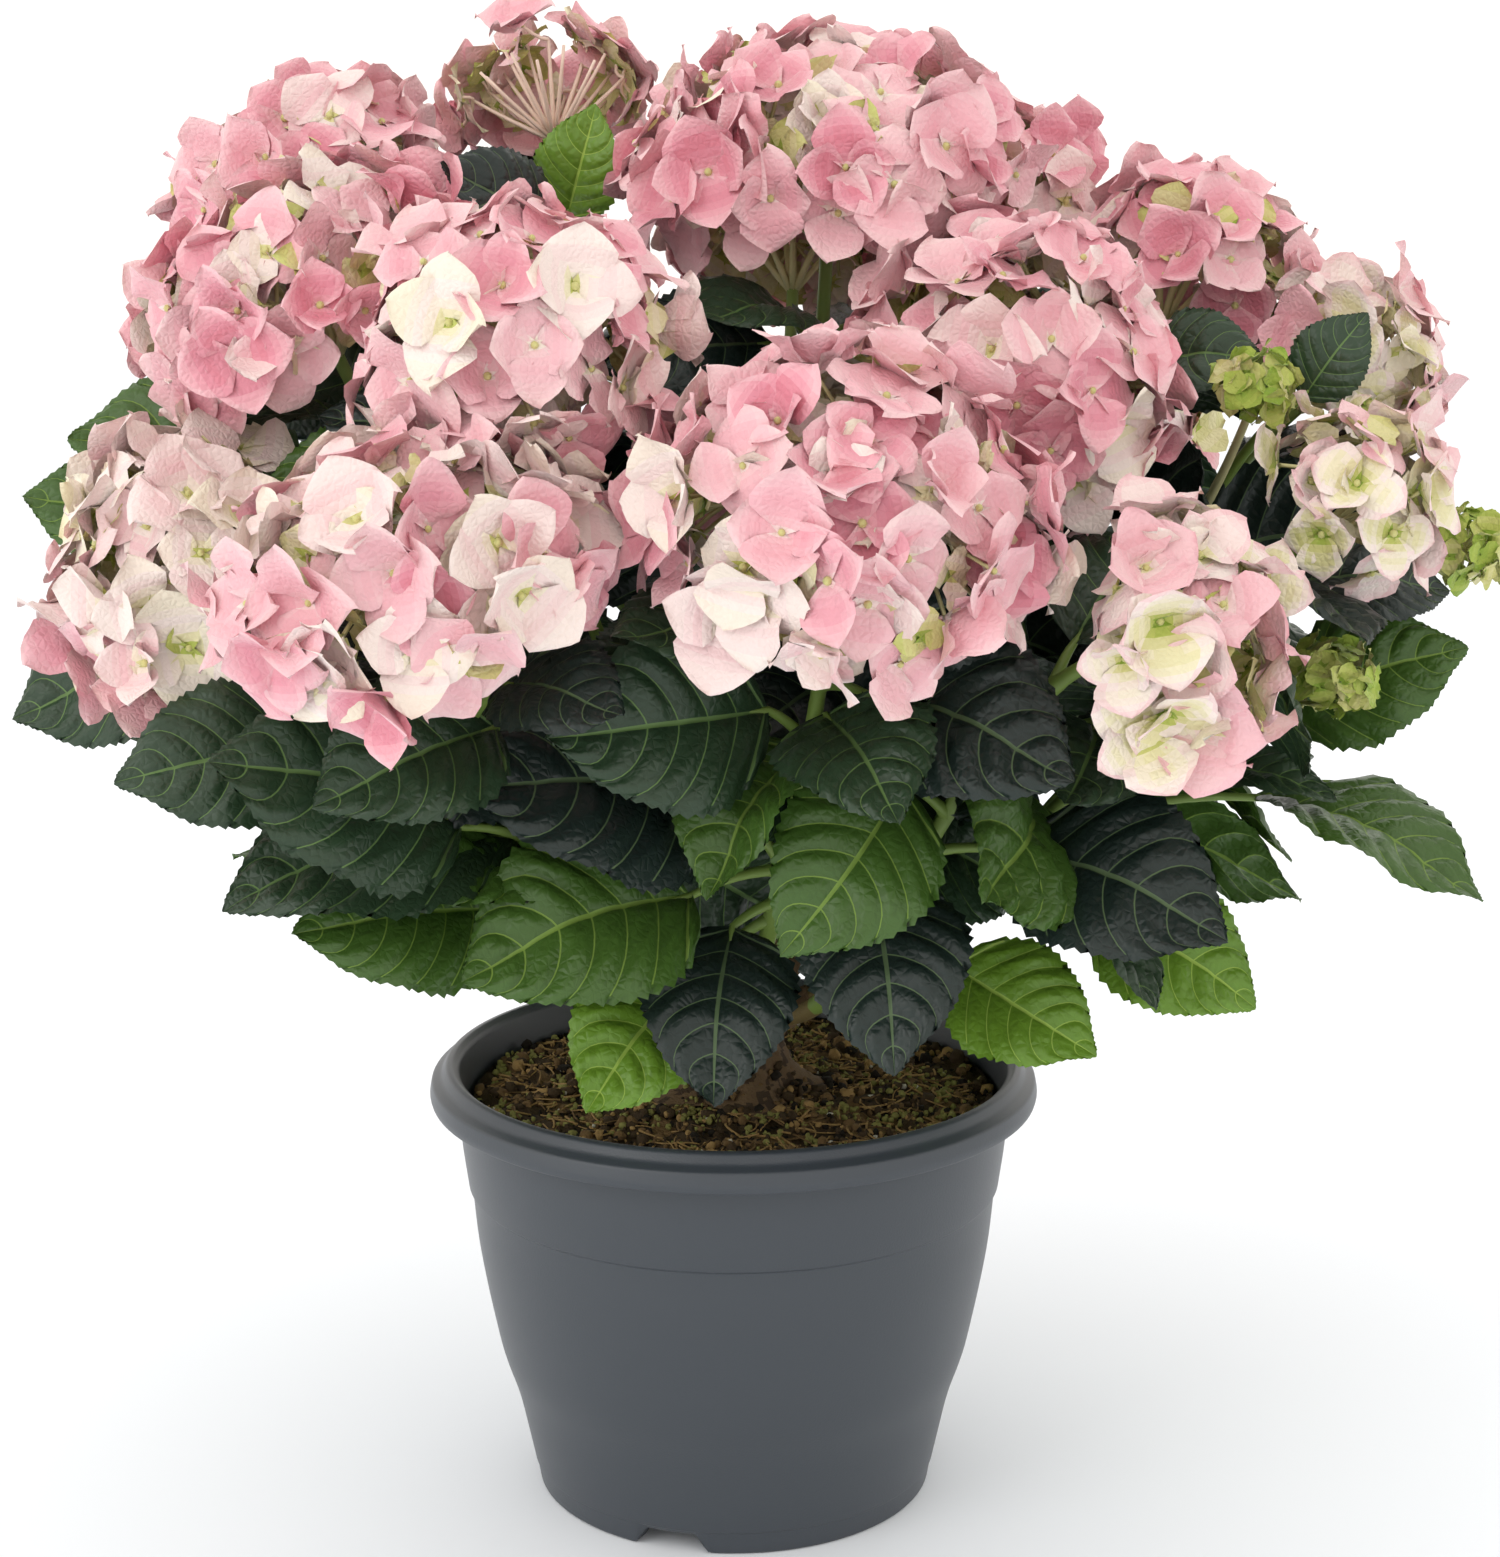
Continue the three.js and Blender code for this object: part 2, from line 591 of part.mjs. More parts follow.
// A tight knob of green buds on a side stalk
function addYoungHeads(shoot) {
  for (const [name, place, centreList, radius] of YOUNG_HEADS) {
    if (name === shoot.name) {
      const centre = vector(centreList);
      const root = shoot.route.getPoint(place);
      const bend = root.clone().lerp(centre, 0.6).add(new THREE.Vector3(0, 0, -6));
      const route = new THREE.QuadraticBezierCurve3(root, bend, centre);
      const side = new THREE.Vector3(root.y - centre.y, centre.x - root.x, 0).normalize();
      const stalk = limb(route, side, 0, 1, 1.8, 1.5, 3, 2);
      const knob = toSolid(reshape(new THREE.SphereGeometry(1, 6, 5), (point) => {
        const level = 1 - point.y * point.y;
        const bud = 1 + 0.3 * level * Math.cos(6 * point.y) * point.x * point.z;
        return centre.clone().addScaledVector(point, radius * bud);
      }));
      const grown = fuse([stalk, knob]);
      shoot.pieces.push(grown);
      remember(grown, `leaf_${shoot.name}`);
    }
  }
}

function addOuterLeaves(shoot) {
  for (const [name, place, base, tip, roll, fold] of OUTER_LEAVES) {
    if (name === shoot.name) {
      addLeaf(shoot, place, vector(base), vector(tip), roll, fold, OUTER_FACING);
    }
  }
}

function bloom(shoot, stalk) {
  const { head, index } = shoot;
  const cap = 2 * Math.PI * head.radius ** 2 * (1 - Math.cos(FLORET_LIMIT * DEG));
  const dome = cap * mix(1, head.flatness, 0.5);
  const count = Math.max(FEWEST_FLORETS, Math.round(dome / FLORET_SHARE));
  const size = FLORET_OVERLAP * Math.sqrt(dome / count / 2);
  const pieces = [stalk, headCore(head)];
  for (const { centre, outward, spin } of floretPlaces(head, count, 300 + 31 * index)) {
    const grown = floret(centre, outward, size, spin);
    if (hasRoom(grown, (owner) => owner === `bloom_${shoot.name}`)) {
      pieces.push(grown);
    }
  }
  return fuse(pieces);
}

// ---------------------------------------------------------------- materials

function material(color, roughness) {
  return new THREE.MeshStandardMaterial({ color, roughness, metalness: 0 });
}

const POT_PLASTIC = material("#4a5056", 0.62);
const PEAT = material("#3c2a1c", 0.95);
const WOOD = material("#7a5b3c", 0.85);
const GREEN_STEM = material("#7f9a4c", 0.7);
const LEAF_GREEN = material("#34502c", 0.5);
const BLOOM_TONES = {
  pink: material("#e8a0b2", 0.75),
  pale: material("#efc4cc", 0.75),
  cream: material("#efe0cc", 0.75),
  green: material("#dfe0b4", 0.75),
};

// ---------------------------------------------------------------- the plant

const plant = new THREE.Group();

function place(name, solid, look) {
  plant.add(toMesh(name, solid, look));
}

const potSolid = pot();
const soilSolid = soil();
const directions = shootDirections();
const crownSolid = crown(directions);
place("pot", potSolid, POT_PLASTIC);
place("soil", soilSolid, PEAT);
place("crown", crownSolid, WOOD);
remember(potSolid, "pot");
remember(soilSolid, "soil");
remember(crownSolid, "crown");

const shoots = SHOOTS.map((row, index) => makeShoot(row, index, directions[index]));

for (const shoot of shoots) {
  const cut = GAP / shoot.span;
  shoot.stem = shootPiece(shoot, 0, LIMB_END, 2);
  shoot.twig = shootPiece(shoot, LIMB_END + cut, TWIG_END, 4);
  shoot.stalk = shootPiece(shoot, TWIG_END + cut, 1, 2);
  remember(shoot.stem, `stem_${shoot.name}`);
  remember(shoot.twig, `twig_${shoot.name}`);
  remember(fuse([shoot.stalk, headCore(shoot.head)]), `bloom_${shoot.name}`);
  place(`stem_${shoot.name}`, shoot.stem, GREEN_STEM);
}

for (const shoot of shoots) {
  const blossom = bloom(shoot, shoot.stalk);
  remember(blossom, `bloom_${shoot.name}`);
  place(`bloom_${shoot.name}`, blossom, BLOOM_TONES[shoot.tone]);
}

for (const shoot of shoots) {
  shoot.pieces = [shoot.twig];
  addYoungHeads(shoot);
}

for (const shoot of shoots) {
  addOuterLeaves(shoot);
}

for (let pair = 0; pair < MOST_PAIRS; pair++) {
  for (const shoot of shoots.filter(({ pairs }) => pair < pairs)) {
    addLeafPair(shoot, pair);
  }
}

for (const shoot of shoots) {
  place(`foliage_${shoot.name}`, fuse(shoot.pieces), LEAF_GREEN);
}

export default plant;
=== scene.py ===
"""Looks of the potted hydrangea: leaves, florets, stems and soil, grown by the part's own rule."""

import functools
import math

import bpy
import numpy as np
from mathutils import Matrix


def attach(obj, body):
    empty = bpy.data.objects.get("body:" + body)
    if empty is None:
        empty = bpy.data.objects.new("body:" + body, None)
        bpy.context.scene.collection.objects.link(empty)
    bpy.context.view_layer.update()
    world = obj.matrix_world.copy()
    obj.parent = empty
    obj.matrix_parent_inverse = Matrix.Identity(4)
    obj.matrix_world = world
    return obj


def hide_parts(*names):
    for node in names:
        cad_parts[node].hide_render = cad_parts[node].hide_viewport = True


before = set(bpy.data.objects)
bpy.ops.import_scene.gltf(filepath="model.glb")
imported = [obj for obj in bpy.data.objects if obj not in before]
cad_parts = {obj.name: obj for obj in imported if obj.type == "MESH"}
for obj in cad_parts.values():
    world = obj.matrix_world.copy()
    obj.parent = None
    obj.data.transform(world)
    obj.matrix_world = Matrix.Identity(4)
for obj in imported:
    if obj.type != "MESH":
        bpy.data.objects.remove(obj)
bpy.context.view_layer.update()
MM = 0.001  # the rule below works in millimetres, as the part's source does

# ---- the part's named sizes

GAP = 0.35
POT_HEIGHT = 167.4
RIM_RADIUS = 115.0
FOOT_RADIUS = 75.5
FOOT_RING_INNER = 67.0
RECESS_HEIGHT = 7.5
BOSS_RADIUS = 21.0
BASE_TOP = 10.0
WALL = 2.2
NOTCH_COUNT = 3
NOTCH_TOP = 18.0
NOTCH_FOOT = 28.0
NOTCH_AZIMUTH = 252.2
NOTCH_RING = 72.0  # radius at which a notch is measured
DRAIN_COUNT = 6
DRAIN_RADIUS = 4.5
DRAIN_RING = 46.0
SOIL_LEVEL = 155.6
SOIL_LUMP = 2.6
SOIL_RADIUS = 98.4
CROWN_FOOT = SOIL_LEVEL + GAP
CROWN_LEAN = 0.08
KNUCKLE_CENTRE = np.array([2.0, -1.0, CROWN_FOOT + 25])
KNUCKLE_RADIUS = 19.0
STUB_REACH = 33.0
STUB_RADIUS = 4.2
LIMB_END = 0.24
TWIG_END = 0.88
SHOOT_FOOT_RADIUS = 3.5
SHOOT_TIP_RADIUS = 2.3
STALK_SUNK = 0.7
LEAF_WIDTH = 0.7
LEAF_ARCH = 0.1
LEAF_FOLD = 0.18
FLORET_LIMIT = 100.0
GOLDEN_TURN = 137.508
SPLAY = 1.15  # of a shoot's foot, as a share of its head's own slant
STUB_APART = 15  # degrees between two stubs
PUSH_ROUNDS = 60
PUSH_SHARE = 0.3
LEAST_RISE = 0.12
FOOT_PULL = 0.26  # how far a shoot keeps its first direction, as a share of its span
HEAD_PULL = 0.32
FIRST_NODE = LIMB_END + 0.05
LAST_NODE = TWIG_END - 0.06
PETIOLE_LENGTHS = (34, 20)  # at the twig's foot and at its tip
PETIOLE_RISE = 38
NODE_SPREADS = (40, 92)  # degrees from the shoot's own azimuth, pair by pair in turn

# name, head centre, head radius, flatness, lean of the head, azimuth of the lean, leaf pairs, tone
SHOOTS = [
    ("a", (-71, 92, 524), 40, 0.6, 22, 110, 3, "pink"),
    ("b", (-157, 62, 490), 53, 0.6, 26, 160, 3, "pink"),
    ("c", (-146, -38, 454), 61, 0.62, 26, 215, 3, "pink"),
    ("d", (-68, -112, 441), 49, 0.93, 32, 262, 3, "pale"),
    ("e", (34, 14, 494), 73, 0.62, 8, 270, 4, "pink"),
    ("f", (104, 104, 482), 38, 0.9, 25, 40, 3, "pink"),
    ("g", (172, 50, 456), 43, 0.85, 32, 15, 3, "pink"),
    ("h", (221, 4, 425), 29, 1.2, 50, 350, 3, "green"),
    ("i", (207, -80, 388), 28, 1.15, 45, 315, 3, "green"),
    ("j", (94, -52, 422), 54, 1.12, 34, 300, 3, "pink"),
    ("k", (35, -152, 390), 64, 0.82, 28, 280, 3, "pink"),
    ("l", (-98, -160, 374), 60, 0.66, 26, 242, 3, "cream"),
    ("m", (-186, -68, 363), 52, 0.8, 72, 205, 3, "ivory"),
    ("n", (142, -150, 353), 42, 0.64, 78, 325, 2, "green"),
    ("o", (24, 158, 466), 50, 0.8, 30, 88, 3, "pink"),
    ("p", (-132, 166, 408), 50, 0.8, 45, 128, 3, "pale"),
    ("q", (150, 168, 400), 50, 0.8, 45, 48, 3, "cream"),
    ("r", (4, 192, 346), 46, 0.85, 55, 92, 3, "pink"),
]
MOST_PAIRS = 4

# shoot, place on its axis, centre, radius
YOUNG_HEADS = [
    ("h", 0.62, (262, -22, 364), 15),
    ("i", 0.72, (203, -92, 330), 13),
    ("h", 0.8, (182, -46, 424), 12),
]

# shoot, place on its axis, blade's base, blade's tip, roll, fold, tone of the green. The tone is partly
# painted light and shade: bright where light shines through a leaf, dark where it lies in shade.
OUTER_LEAVES = [
    ("a", 0.8, (-62, 46, 478), (-50, 34, 520), 0, 0.2, "bright"),
    ("a", 0.7, (-66, 12, 470), (-102, -18, 500), 0, 0.2, "dark"),
    ("e", 0.72, (14, -8, 436), (-44, -34, 430), 0, 0.15, "dark"),
    ("e", 0.62, (8, 2, 440), (-34, -38, 404), 0, 0.15, "mid"),
    ("e", 0.66, (58, 18, 438), (116, 16, 436), 0, 0.2, "mid"),
    ("c", 0.66, (-158, 16, 392), (-240, -6, 402), 0, 0.15, "mid"),
    ("m", 0.66, (-188, 14, 366), (-260, 4, 380), 0, 0.15, "mid"),
    ("m", 0.52, (-186, 2, 330), (-264, -12, 300), 0, 0.2, "deep"),
    ("d", 0.7, (-104, -64, 386), (-160, -92, 390), 0, 0.3, "mid"),
    ("l", 0.66, (-136, -108, 313), (-200, -140, 305), 0, 0.12, "deep"),
    ("l", 0.55, (-90, -114, 284), (-164, -168, 318), 0, 0.2, "deep"),
    ("m", 0.34, (-104, -48, 268), (-155, -80, 256), 0, 0.15, "deep"),
    ("k", 0.62, (-6, -92, 286), (-88, -150, 306), 0, 0.15, "dark"),
    ("l", 0.78, (-76, -134, 322), (-130, -180, 306), 0, 0.3, "deep"),
    ("l", 0.36, (-80, -78, 246), (-147, -122, 249), 0, 0.15, "mid"),
    ("k", 0.42, (-14, -98, 256), (-88, -148, 240), 0, 0.15, "mid"),
    ("k", 0.3, (-14, -62, 216), (-50, -110, 182), 0, 0.15, "bright"),
    ("k", 0.34, (0, -80, 240), (-6, -132, 192), 0, 0.15, "dark"),
    ("n", 0.34, (46, -90, 262), (54, -142, 206), 0, 0.15, "dark"),
    ("k", 0.8, (44, -116, 330), (108, -170, 312), 0, 0.15, "dark"),
    ("d", 0.55, (-14, -84, 336), (-46, -128, 322), 0, 0.25, "deep"),
    ("k", 0.7, (26, -110, 310), (-8, -150, 268), 30, 0.7, "mid"),
    ("n", 0.48, (96, -84, 268), (164, -134, 250), 0, 0.15, "dark"),
    ("n", 0.3, (78, -58, 220), (127, -90, 196), 0, 0.15, "bright"),
    ("i", 0.3, (128, -46, 236), (186, -66, 206), 0, 0.15, "bright"),
    ("i", 0.52, (160, -62, 291), (208, -84, 286), -40, 0.2, "deep"),
    ("i", 0.42, (186, -48, 279), (258, -92, 252), -42, 0.2, "mid"),
    ("h", 0.5, (198, -36, 306), (258, -52, 334), 0, 0.15, "mid"),
    ("h", 0.82, (198, -44, 420), (218, -50, 450), 0, 0.15, "deep"),
    ("j", 0.55, (96, -56, 352), (52, -104, 348), 0, 0.15, "deep"),
    ("g", 0.72, (146, 2, 424), (186, -28, 434), 0, 0.2, "deep"),
]

# The attempts of a leaf to find room: turn and lift in degrees, share of its full size
ATTEMPTS = [
    (0, 0, 1), (26, 10, 1), (-26, 10, 1), (0, -12, 0.85), (45, 0, 0.85), (-45, 0, 0.85),
    (14, 30, 0.75), (-14, 30, 0.75),
]

# Further attempts of the leaves that only the scene has
WIDER_ATTEMPTS = [
    (70, 0, 0.9), (-70, 0, 0.9), (100, 10, 0.85), (-100, 10, 0.85), (140, 0, 0.8), (180, 0, 0.8),
]

# Of a leaf pair: play of the azimuth, blade's length at the twig's foot and tip, its least share,
# rise at foot and tip, how much its face turns up, attempts
FIRST_PAIRS = (30, (98, 68), 0.88, (-16, 4), 1.0, ATTEMPTS)
BETWEEN_PAIRS = (40, (104, 78), 0.85, (-38, 0), 0.5, ATTEMPTS + WIDER_ATTEMPTS)

# ---- what is finer than the solids

REACH_SIDE = 262.0
REACH_FRONT = 222.0
LEAF_FLOOR = 174.0
LEAF_ROOM = 10.0
HEAD_ROOM = 1.12  # of a head's radius
TIP_MATCH = 0.2  # from a leaf's tip to the corner of the solid that shows it
BETWEEN_SPREAD = 66
UP = np.array([0, 0, 1.0])
OUTER_FACING = np.array([0, -1, 0.7])  # what the upper faces of the outer leaves turn to

LEAF_LATERALS = 7
LEAF_COLUMNS = (0.0, 0.028, 0.1, 0.21, 0.33, 0.45, 0.57, 0.69, 0.81, 0.92, 1.0)
LATERAL_ROWS = (0.024, 0.21, 0.4, 0.6, 0.79, 0.976)
BASAL_SHARE = 0.22  # of the margin, that lies before the first lateral
QUILT_HEIGHT = 0.058  # of the blade's length
TOOTH_LENGTH = 0.024
FLORET_AREA = 470.0  # square millimetres of dome to an open floret
YOUNG_SHARE = 0.9  # of young florets to open ones
SEPAL_VARIANTS = 14
EYE_RADIUS = 1.35
PEDICEL_RADIUS = 0.75
THREAD_SIDE = np.array([0.3, 0.8, 0.1])  # where the first corner of a thin stalk points
RAY_COUNT = 9
BARE_HEADS = ("a",)  # without florets low on the side to -Y
BARE_FROM = 44  # degrees from the head's top


# ---- draws and vectors

class Draw:
    """The part's own row of draws from a seed."""

    def __init__(self, seed):
        self.state = seed

    def __call__(self):
        self.state = (self.state * 1664525 + 1013904223) % 4294967296
        return self.state / 4294967296


def mix(low, high, share):
    return low + (high - low) * share


def smoothstep(value, low, high):
    share = np.clip((value - low) / (high - low), 0, 1)
    return share * share * (3 - 2 * share)


def unit(vector):
    return vector / np.linalg.norm(vector)


def cosine(degrees):
    return math.cos(math.radians(degrees))


def toward(azimuth, rise):
    """The direction at an azimuth and a rise above the level, in degrees."""
    level = cosine(rise)
    turn = math.radians(azimuth)
    return np.array([math.cos(turn) * level, math.sin(turn) * level, math.sin(math.radians(rise))])


def square_to(axis, wish):
    return unit(wish - axis * np.dot(wish, axis))


def turned(vector, axis, angle):
    """A vector turned about an axis by an angle in radians."""
    return (vector * math.cos(angle) + np.cross(axis, vector) * math.sin(angle)
            + axis * np.dot(axis, vector) * (1 - math.cos(angle)))


def cubic(points, place):
    place = np.asarray(place, float)[..., None]
    rest = 1 - place
    return (rest ** 3 * points[0] + 3 * rest ** 2 * place * points[1]
            + 3 * rest * place ** 2 * points[2] + place ** 3 * points[3])


def quadratic(points, place):
    place = np.asarray(place, float)[..., None]
    rest = 1 - place
    return rest ** 2 * points[0] + 2 * rest * place * points[1] + place ** 2 * points[2]


# ---- the rule of growth

def head_frame(lean, azimuth):
    axis = toward(azimuth, 90 - lean)
    first = square_to(axis, toward(azimuth + 90, 0))
    return axis, first, np.cross(axis, first)


class Head:
    def __init__(self, centre, radius, flatness, lean, azimuth):
        self.centre = np.array(centre, float)
        self.radius = radius
        self.flatness = flatness
        self.axis, self.first, self.second = head_frame(lean, azimuth)

    def point(self, radius, polar, turn):
        below = max(0, polar - 90) / 90
        drawn_in = radius * (1 - 0.42 * below)
        polar, turn = math.radians(polar), math.radians(turn)
        return (self.centre + self.axis * drawn_in * self.flatness * math.cos(polar)
                + self.first * drawn_in * math.sin(polar) * math.cos(turn)
                + self.second * drawn_in * math.sin(polar) * math.sin(turn))

    def depth(self, point):
        """Distance from the centre, as a share of the head's radius."""
        away = point - self.centre
        along = np.dot(away, self.axis) / self.flatness
        across, aside = np.dot(away, self.first), np.dot(away, self.second)
        return math.sqrt(along ** 2 + across ** 2 + aside ** 2) / self.radius


def shoot_directions():
    """Directions in which the shoots leave the crown, pushed apart until all have room."""
    directions = []
    for _, centre, *_ in SHOOTS:
        outward = np.array(centre, float) - KNUCKLE_CENTRE
        azimuth = math.degrees(math.atan2(outward[1], outward[0]))
        polar = math.degrees(math.atan2(math.hypot(outward[0], outward[1]), outward[2]))
        directions.append(toward(azimuth, 90 - SPLAY * polar))
    room = 2 * math.sin(math.radians(STUB_APART))
    for _ in range(PUSH_ROUNDS):
        for one in range(len(directions)):
            for two in range(len(directions)):
                apart = np.linalg.norm(directions[one] - directions[two])
                if one != two and apart < room:
                    push = (directions[one] - directions[two]) * PUSH_SHARE * (room - apart) / apart
                    directions[one] = unit(directions[one] + push)
                    directions[two] = unit(directions[two] - push)
            directions[one][2] = max(directions[one][2], LEAST_RISE)
            directions[one] = unit(directions[one])
    return directions


class Shoot:
    def __init__(self, row, index, direction):
        self.name, centre, radius, flatness, lean, azimuth, self.pairs, self.tone = row
        self.index = index
        self.direction = direction
        self.head = Head(centre, radius, flatness, lean, azimuth)
        foot = KNUCKLE_CENTRE + direction * (STUB_REACH + GAP + 0.1)
        end = self.head.point(STALK_SUNK * radius, 180, 0)
        span = np.linalg.norm(end - foot)
        self.route = (foot, foot + direction * FOOT_PULL * span,
                      end - self.head.axis * HEAD_PULL * span, end)
        level = math.atan2(direction[1], direction[0])
        self.side = np.array([-math.sin(level), math.cos(level), 0])
        self.azimuth = math.degrees(level)
        self.draw = Draw(1000 + 77 * index)

    def point(self, place):
        return cubic(self.route, place)


class Leaf:
    """A leaf's place, its blade's directions and its green."""

    def __init__(self, root, base, tip, roll, fold, facing, tone):
        self.root, self.base, self.tip = root, base, tip
        self.fold, self.tone = fold, tone
        self.length = np.linalg.norm(tip - base)
        self.along = unit(tip - base)
        self.normal = turned(square_to(self.along, facing), self.along, math.radians(roll))
        self.across = np.cross(self.normal, self.along)


def solid_points(node):
    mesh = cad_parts[node].data
    points = np.empty(len(mesh.vertices) * 3)
    mesh.vertices.foreach_get("co", points)
    return points.reshape(-1, 3) / MM


def grown_leaves(shoots, by_name):
    """Every leaf that found room in the solids: its tip is one of its mass's corners. Then finer growth:
    the outer leaves that found none, and pairs of leaves between the first ones."""
    leaves = []
    for name, place, base, tip, roll, fold, tone in OUTER_LEAVES:
        root = by_name[name].point(place)
        base, tip = np.array(base, float), np.array(tip, float)
        leaves.append(Leaf(root, base, tip, roll, fold, OUTER_FACING, tone))
    corners = {shoot.name: solid_points("foliage_" + shoot.name) for shoot in shoots}
    for pair in range(MOST_PAIRS):
        for shoot in shoots:
            if pair < shoot.pairs:
                leaves += first_pair(shoot, pair, corners[shoot.name])
    room = Room(leaves, shoots)
    for pair in range(MOST_PAIRS - 1):
        for shoot in shoots:
            if pair < shoot.pairs - 1:
                leaves += between_pair(shoot, pair, room)
    return leaves


class Room:
    """Where there is still room for a leaf among the heads and the leaves already grown."""

    def __init__(self, leaves, shoots):
        self.taken = np.concatenate([self.spots(leaf) for leaf in leaves])
        self.heads = [shoot.head for shoot in shoots]

    def spots(self, leaf):
        """Points along the middle and both sides of a blade."""
        middle = [leaf.base + leaf.along * leaf.length * share + leaf.normal * LEAF_ARCH * leaf.length
                  for share in (0.15, 0.35, 0.55, 0.75, 1.0)]
        sides = [middle[step] + leaf.across * hand * 0.3 * leaf.length
                 for step in (1, 2) for hand in (-1, 1)]
        return np.array(middle + sides)

    def takes(self, leaf):
        """Whether a leaf finds room, which is taken from then on."""
        spots = self.spots(leaf)
        if math.hypot(leaf.tip[0] / REACH_SIDE, leaf.tip[1] / REACH_FRONT) > 1:
            return False
        if min(leaf.tip[2], spots[:, 2].min()) < LEAF_FLOOR:
            return False
        if any(head.depth(spot) < HEAD_ROOM for head in self.heads for spot in spots):
            return False
        apart = np.linalg.norm(spots[:, None, :] - self.taken[None, :, :], axis=2).min()
        if apart > LEAF_ROOM:
            self.taken = np.concatenate([self.taken, spots])
        return apart > LEAF_ROOM


def node_place(share):
    """Where a node sits on its shoot, by its share of the leafy part."""
    return mix(FIRST_NODE, LAST_NODE, share)


def first_pair(shoot, pair, corners):
    """A pair that the solids have."""
    def in_the_solids(leaf):
        return np.linalg.norm(corners - leaf.tip, axis=1).min() < TIP_MATCH

    share = pair / (shoot.pairs - 1)
    return leaf_pair(shoot, share, shoot.draw, NODE_SPREADS[pair % 2], FIRST_PAIRS, in_the_solids)


def between_pair(shoot, pair, room):
    """A pair halfway between two nodes, where there is still room."""
    draw = Draw(5000 + 91 * shoot.index + pair)
    draw()
    share = (pair + 0.5) / (shoot.pairs - 1)
    return leaf_pair(shoot, share, draw, BETWEEN_SPREAD, BETWEEN_PAIRS, room.takes)


def leaf_pair(shoot, share, draw, spread, rule, has_room):
    """The two leaves of a node, each at the first attempt that has room."""
    play, blade_lengths, least, rises, upward, attempts = rule
    root = shoot.point(node_place(share))
    leaves = []
    for hand in (-1, 1):
        azimuth = shoot.azimuth + hand * spread + play * (draw() - 0.5)
        petiole_length = mix(*PETIOLE_LENGTHS, share) * (0.85 + 0.3 * draw())
        blade_length = mix(*blade_lengths, share) * (least + 0.24 * draw())
        rise = mix(*rises, share) + 24 * (draw() - 0.5)
        roll = 60 * (draw() - 0.5)
        for sway, lift, size in attempts:
            base = root + toward(azimuth + sway, PETIOLE_RISE + lift / 2) * petiole_length
            tip = base + toward(azimuth + sway, rise + lift) * size * blade_length
            facing = unit(np.array([base[0], base[1], 0])) + upward * UP
            leaf = Leaf(root, base, tip, roll, LEAF_FOLD, facing, leaf_tone(base, shoot))
            if has_room(leaf):
                leaves.append(leaf)
                break
    return leaves


def leaf_tone(base, shoot):
    """Painted light and shade: low leaves get bright greens that stand for light shining through them, high
    ones dark greens that stand for the shade under the heads.
    """
    draw = Draw(int(abs(base).sum() * 10) + 13 * shoot.index)
    draw()
    pick = draw()
    if base[2] < 235:
        return "bright" if pick < 0.5 else "mid"
    if base[2] < 300:
        return "mid" if pick < 0.5 else "deep"
    return "deep" if pick < 0.55 else "dark"


# ---- meshes

class Pile:
    """Corners, faces and the slot of each face, joined into one mesh. A triangle is a quad whose last
    corner stands twice."""

    def __init__(self):
        self.points, self.quads, self.quad_slots = [], [], []
        self.count = 0

    def add(self, points, quads, slots):
        self.points.append(points)
        self.quads.append(quads + self.count)
        self.quad_slots.append(np.broadcast_to(slots, len(quads)))
        self.count += len(points)

    def piece(self, name, materials, slot, nodes):
        points = np.concatenate(self.points) * MM
        quads = np.concatenate(self.quads)
        slots = np.concatenate(self.quad_slots)
        is_triangle = quads[:, 2] == quads[:, 3]
        sizes = np.where(is_triangle, 3, 4)
        corners = quads[np.arange(4)[None, :] < sizes[:, None]]
        mesh = bpy.data.meshes.new(name)
        mesh.vertices.add(len(points))
        mesh.vertices.foreach_set("co", points.astype(np.float32).ravel())
        mesh.loops.add(len(corners))
        mesh.loops.foreach_set("vertex_index", corners.astype(np.int32))
        mesh.polygons.add(len(quads))
        starts = np.concatenate([[0], np.cumsum(sizes)[:-1]])
        mesh.polygons.foreach_set("loop_start", starts.astype(np.int32))
        mesh.polygons.foreach_set("material_index", slots.astype(np.int32))
        mesh.polygons.foreach_set("use_smooth", np.ones(len(quads), bool))
        mesh.update(calc_edges=True)
        mesh.validate()
        for material in materials:
            mesh.materials.append(material)
        body = bpy.data.objects.new(name, mesh)
        bpy.context.scene.collection.objects.link(body)
        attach(body, "root")
        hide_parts(*nodes)
        return body


def grid_quads(rows, columns, wrap=False):
    """Quads of a grid of points, row after row; wrap joins the last column to the first."""
    row = np.arange(rows - 1)[:, None]
    column = np.arange(columns if wrap else columns - 1)[None, :]
    after = (column + 1) % columns
    quads = np.stack([row * columns + column, row * columns + after,
                      (row + 1) * columns + after, (row + 1) * columns + column], axis=-1)
    return quads.reshape(-1, 4)


def fan(first, second, tip):
    """Triangles from the edges of a ring to one corner."""
    tips = np.full(len(first), tip)
    return np.stack([first, second, tips, tips], axis=-1)


def ring_turns(sides):
    return np.arange(sides) * 2 * np.pi / sides


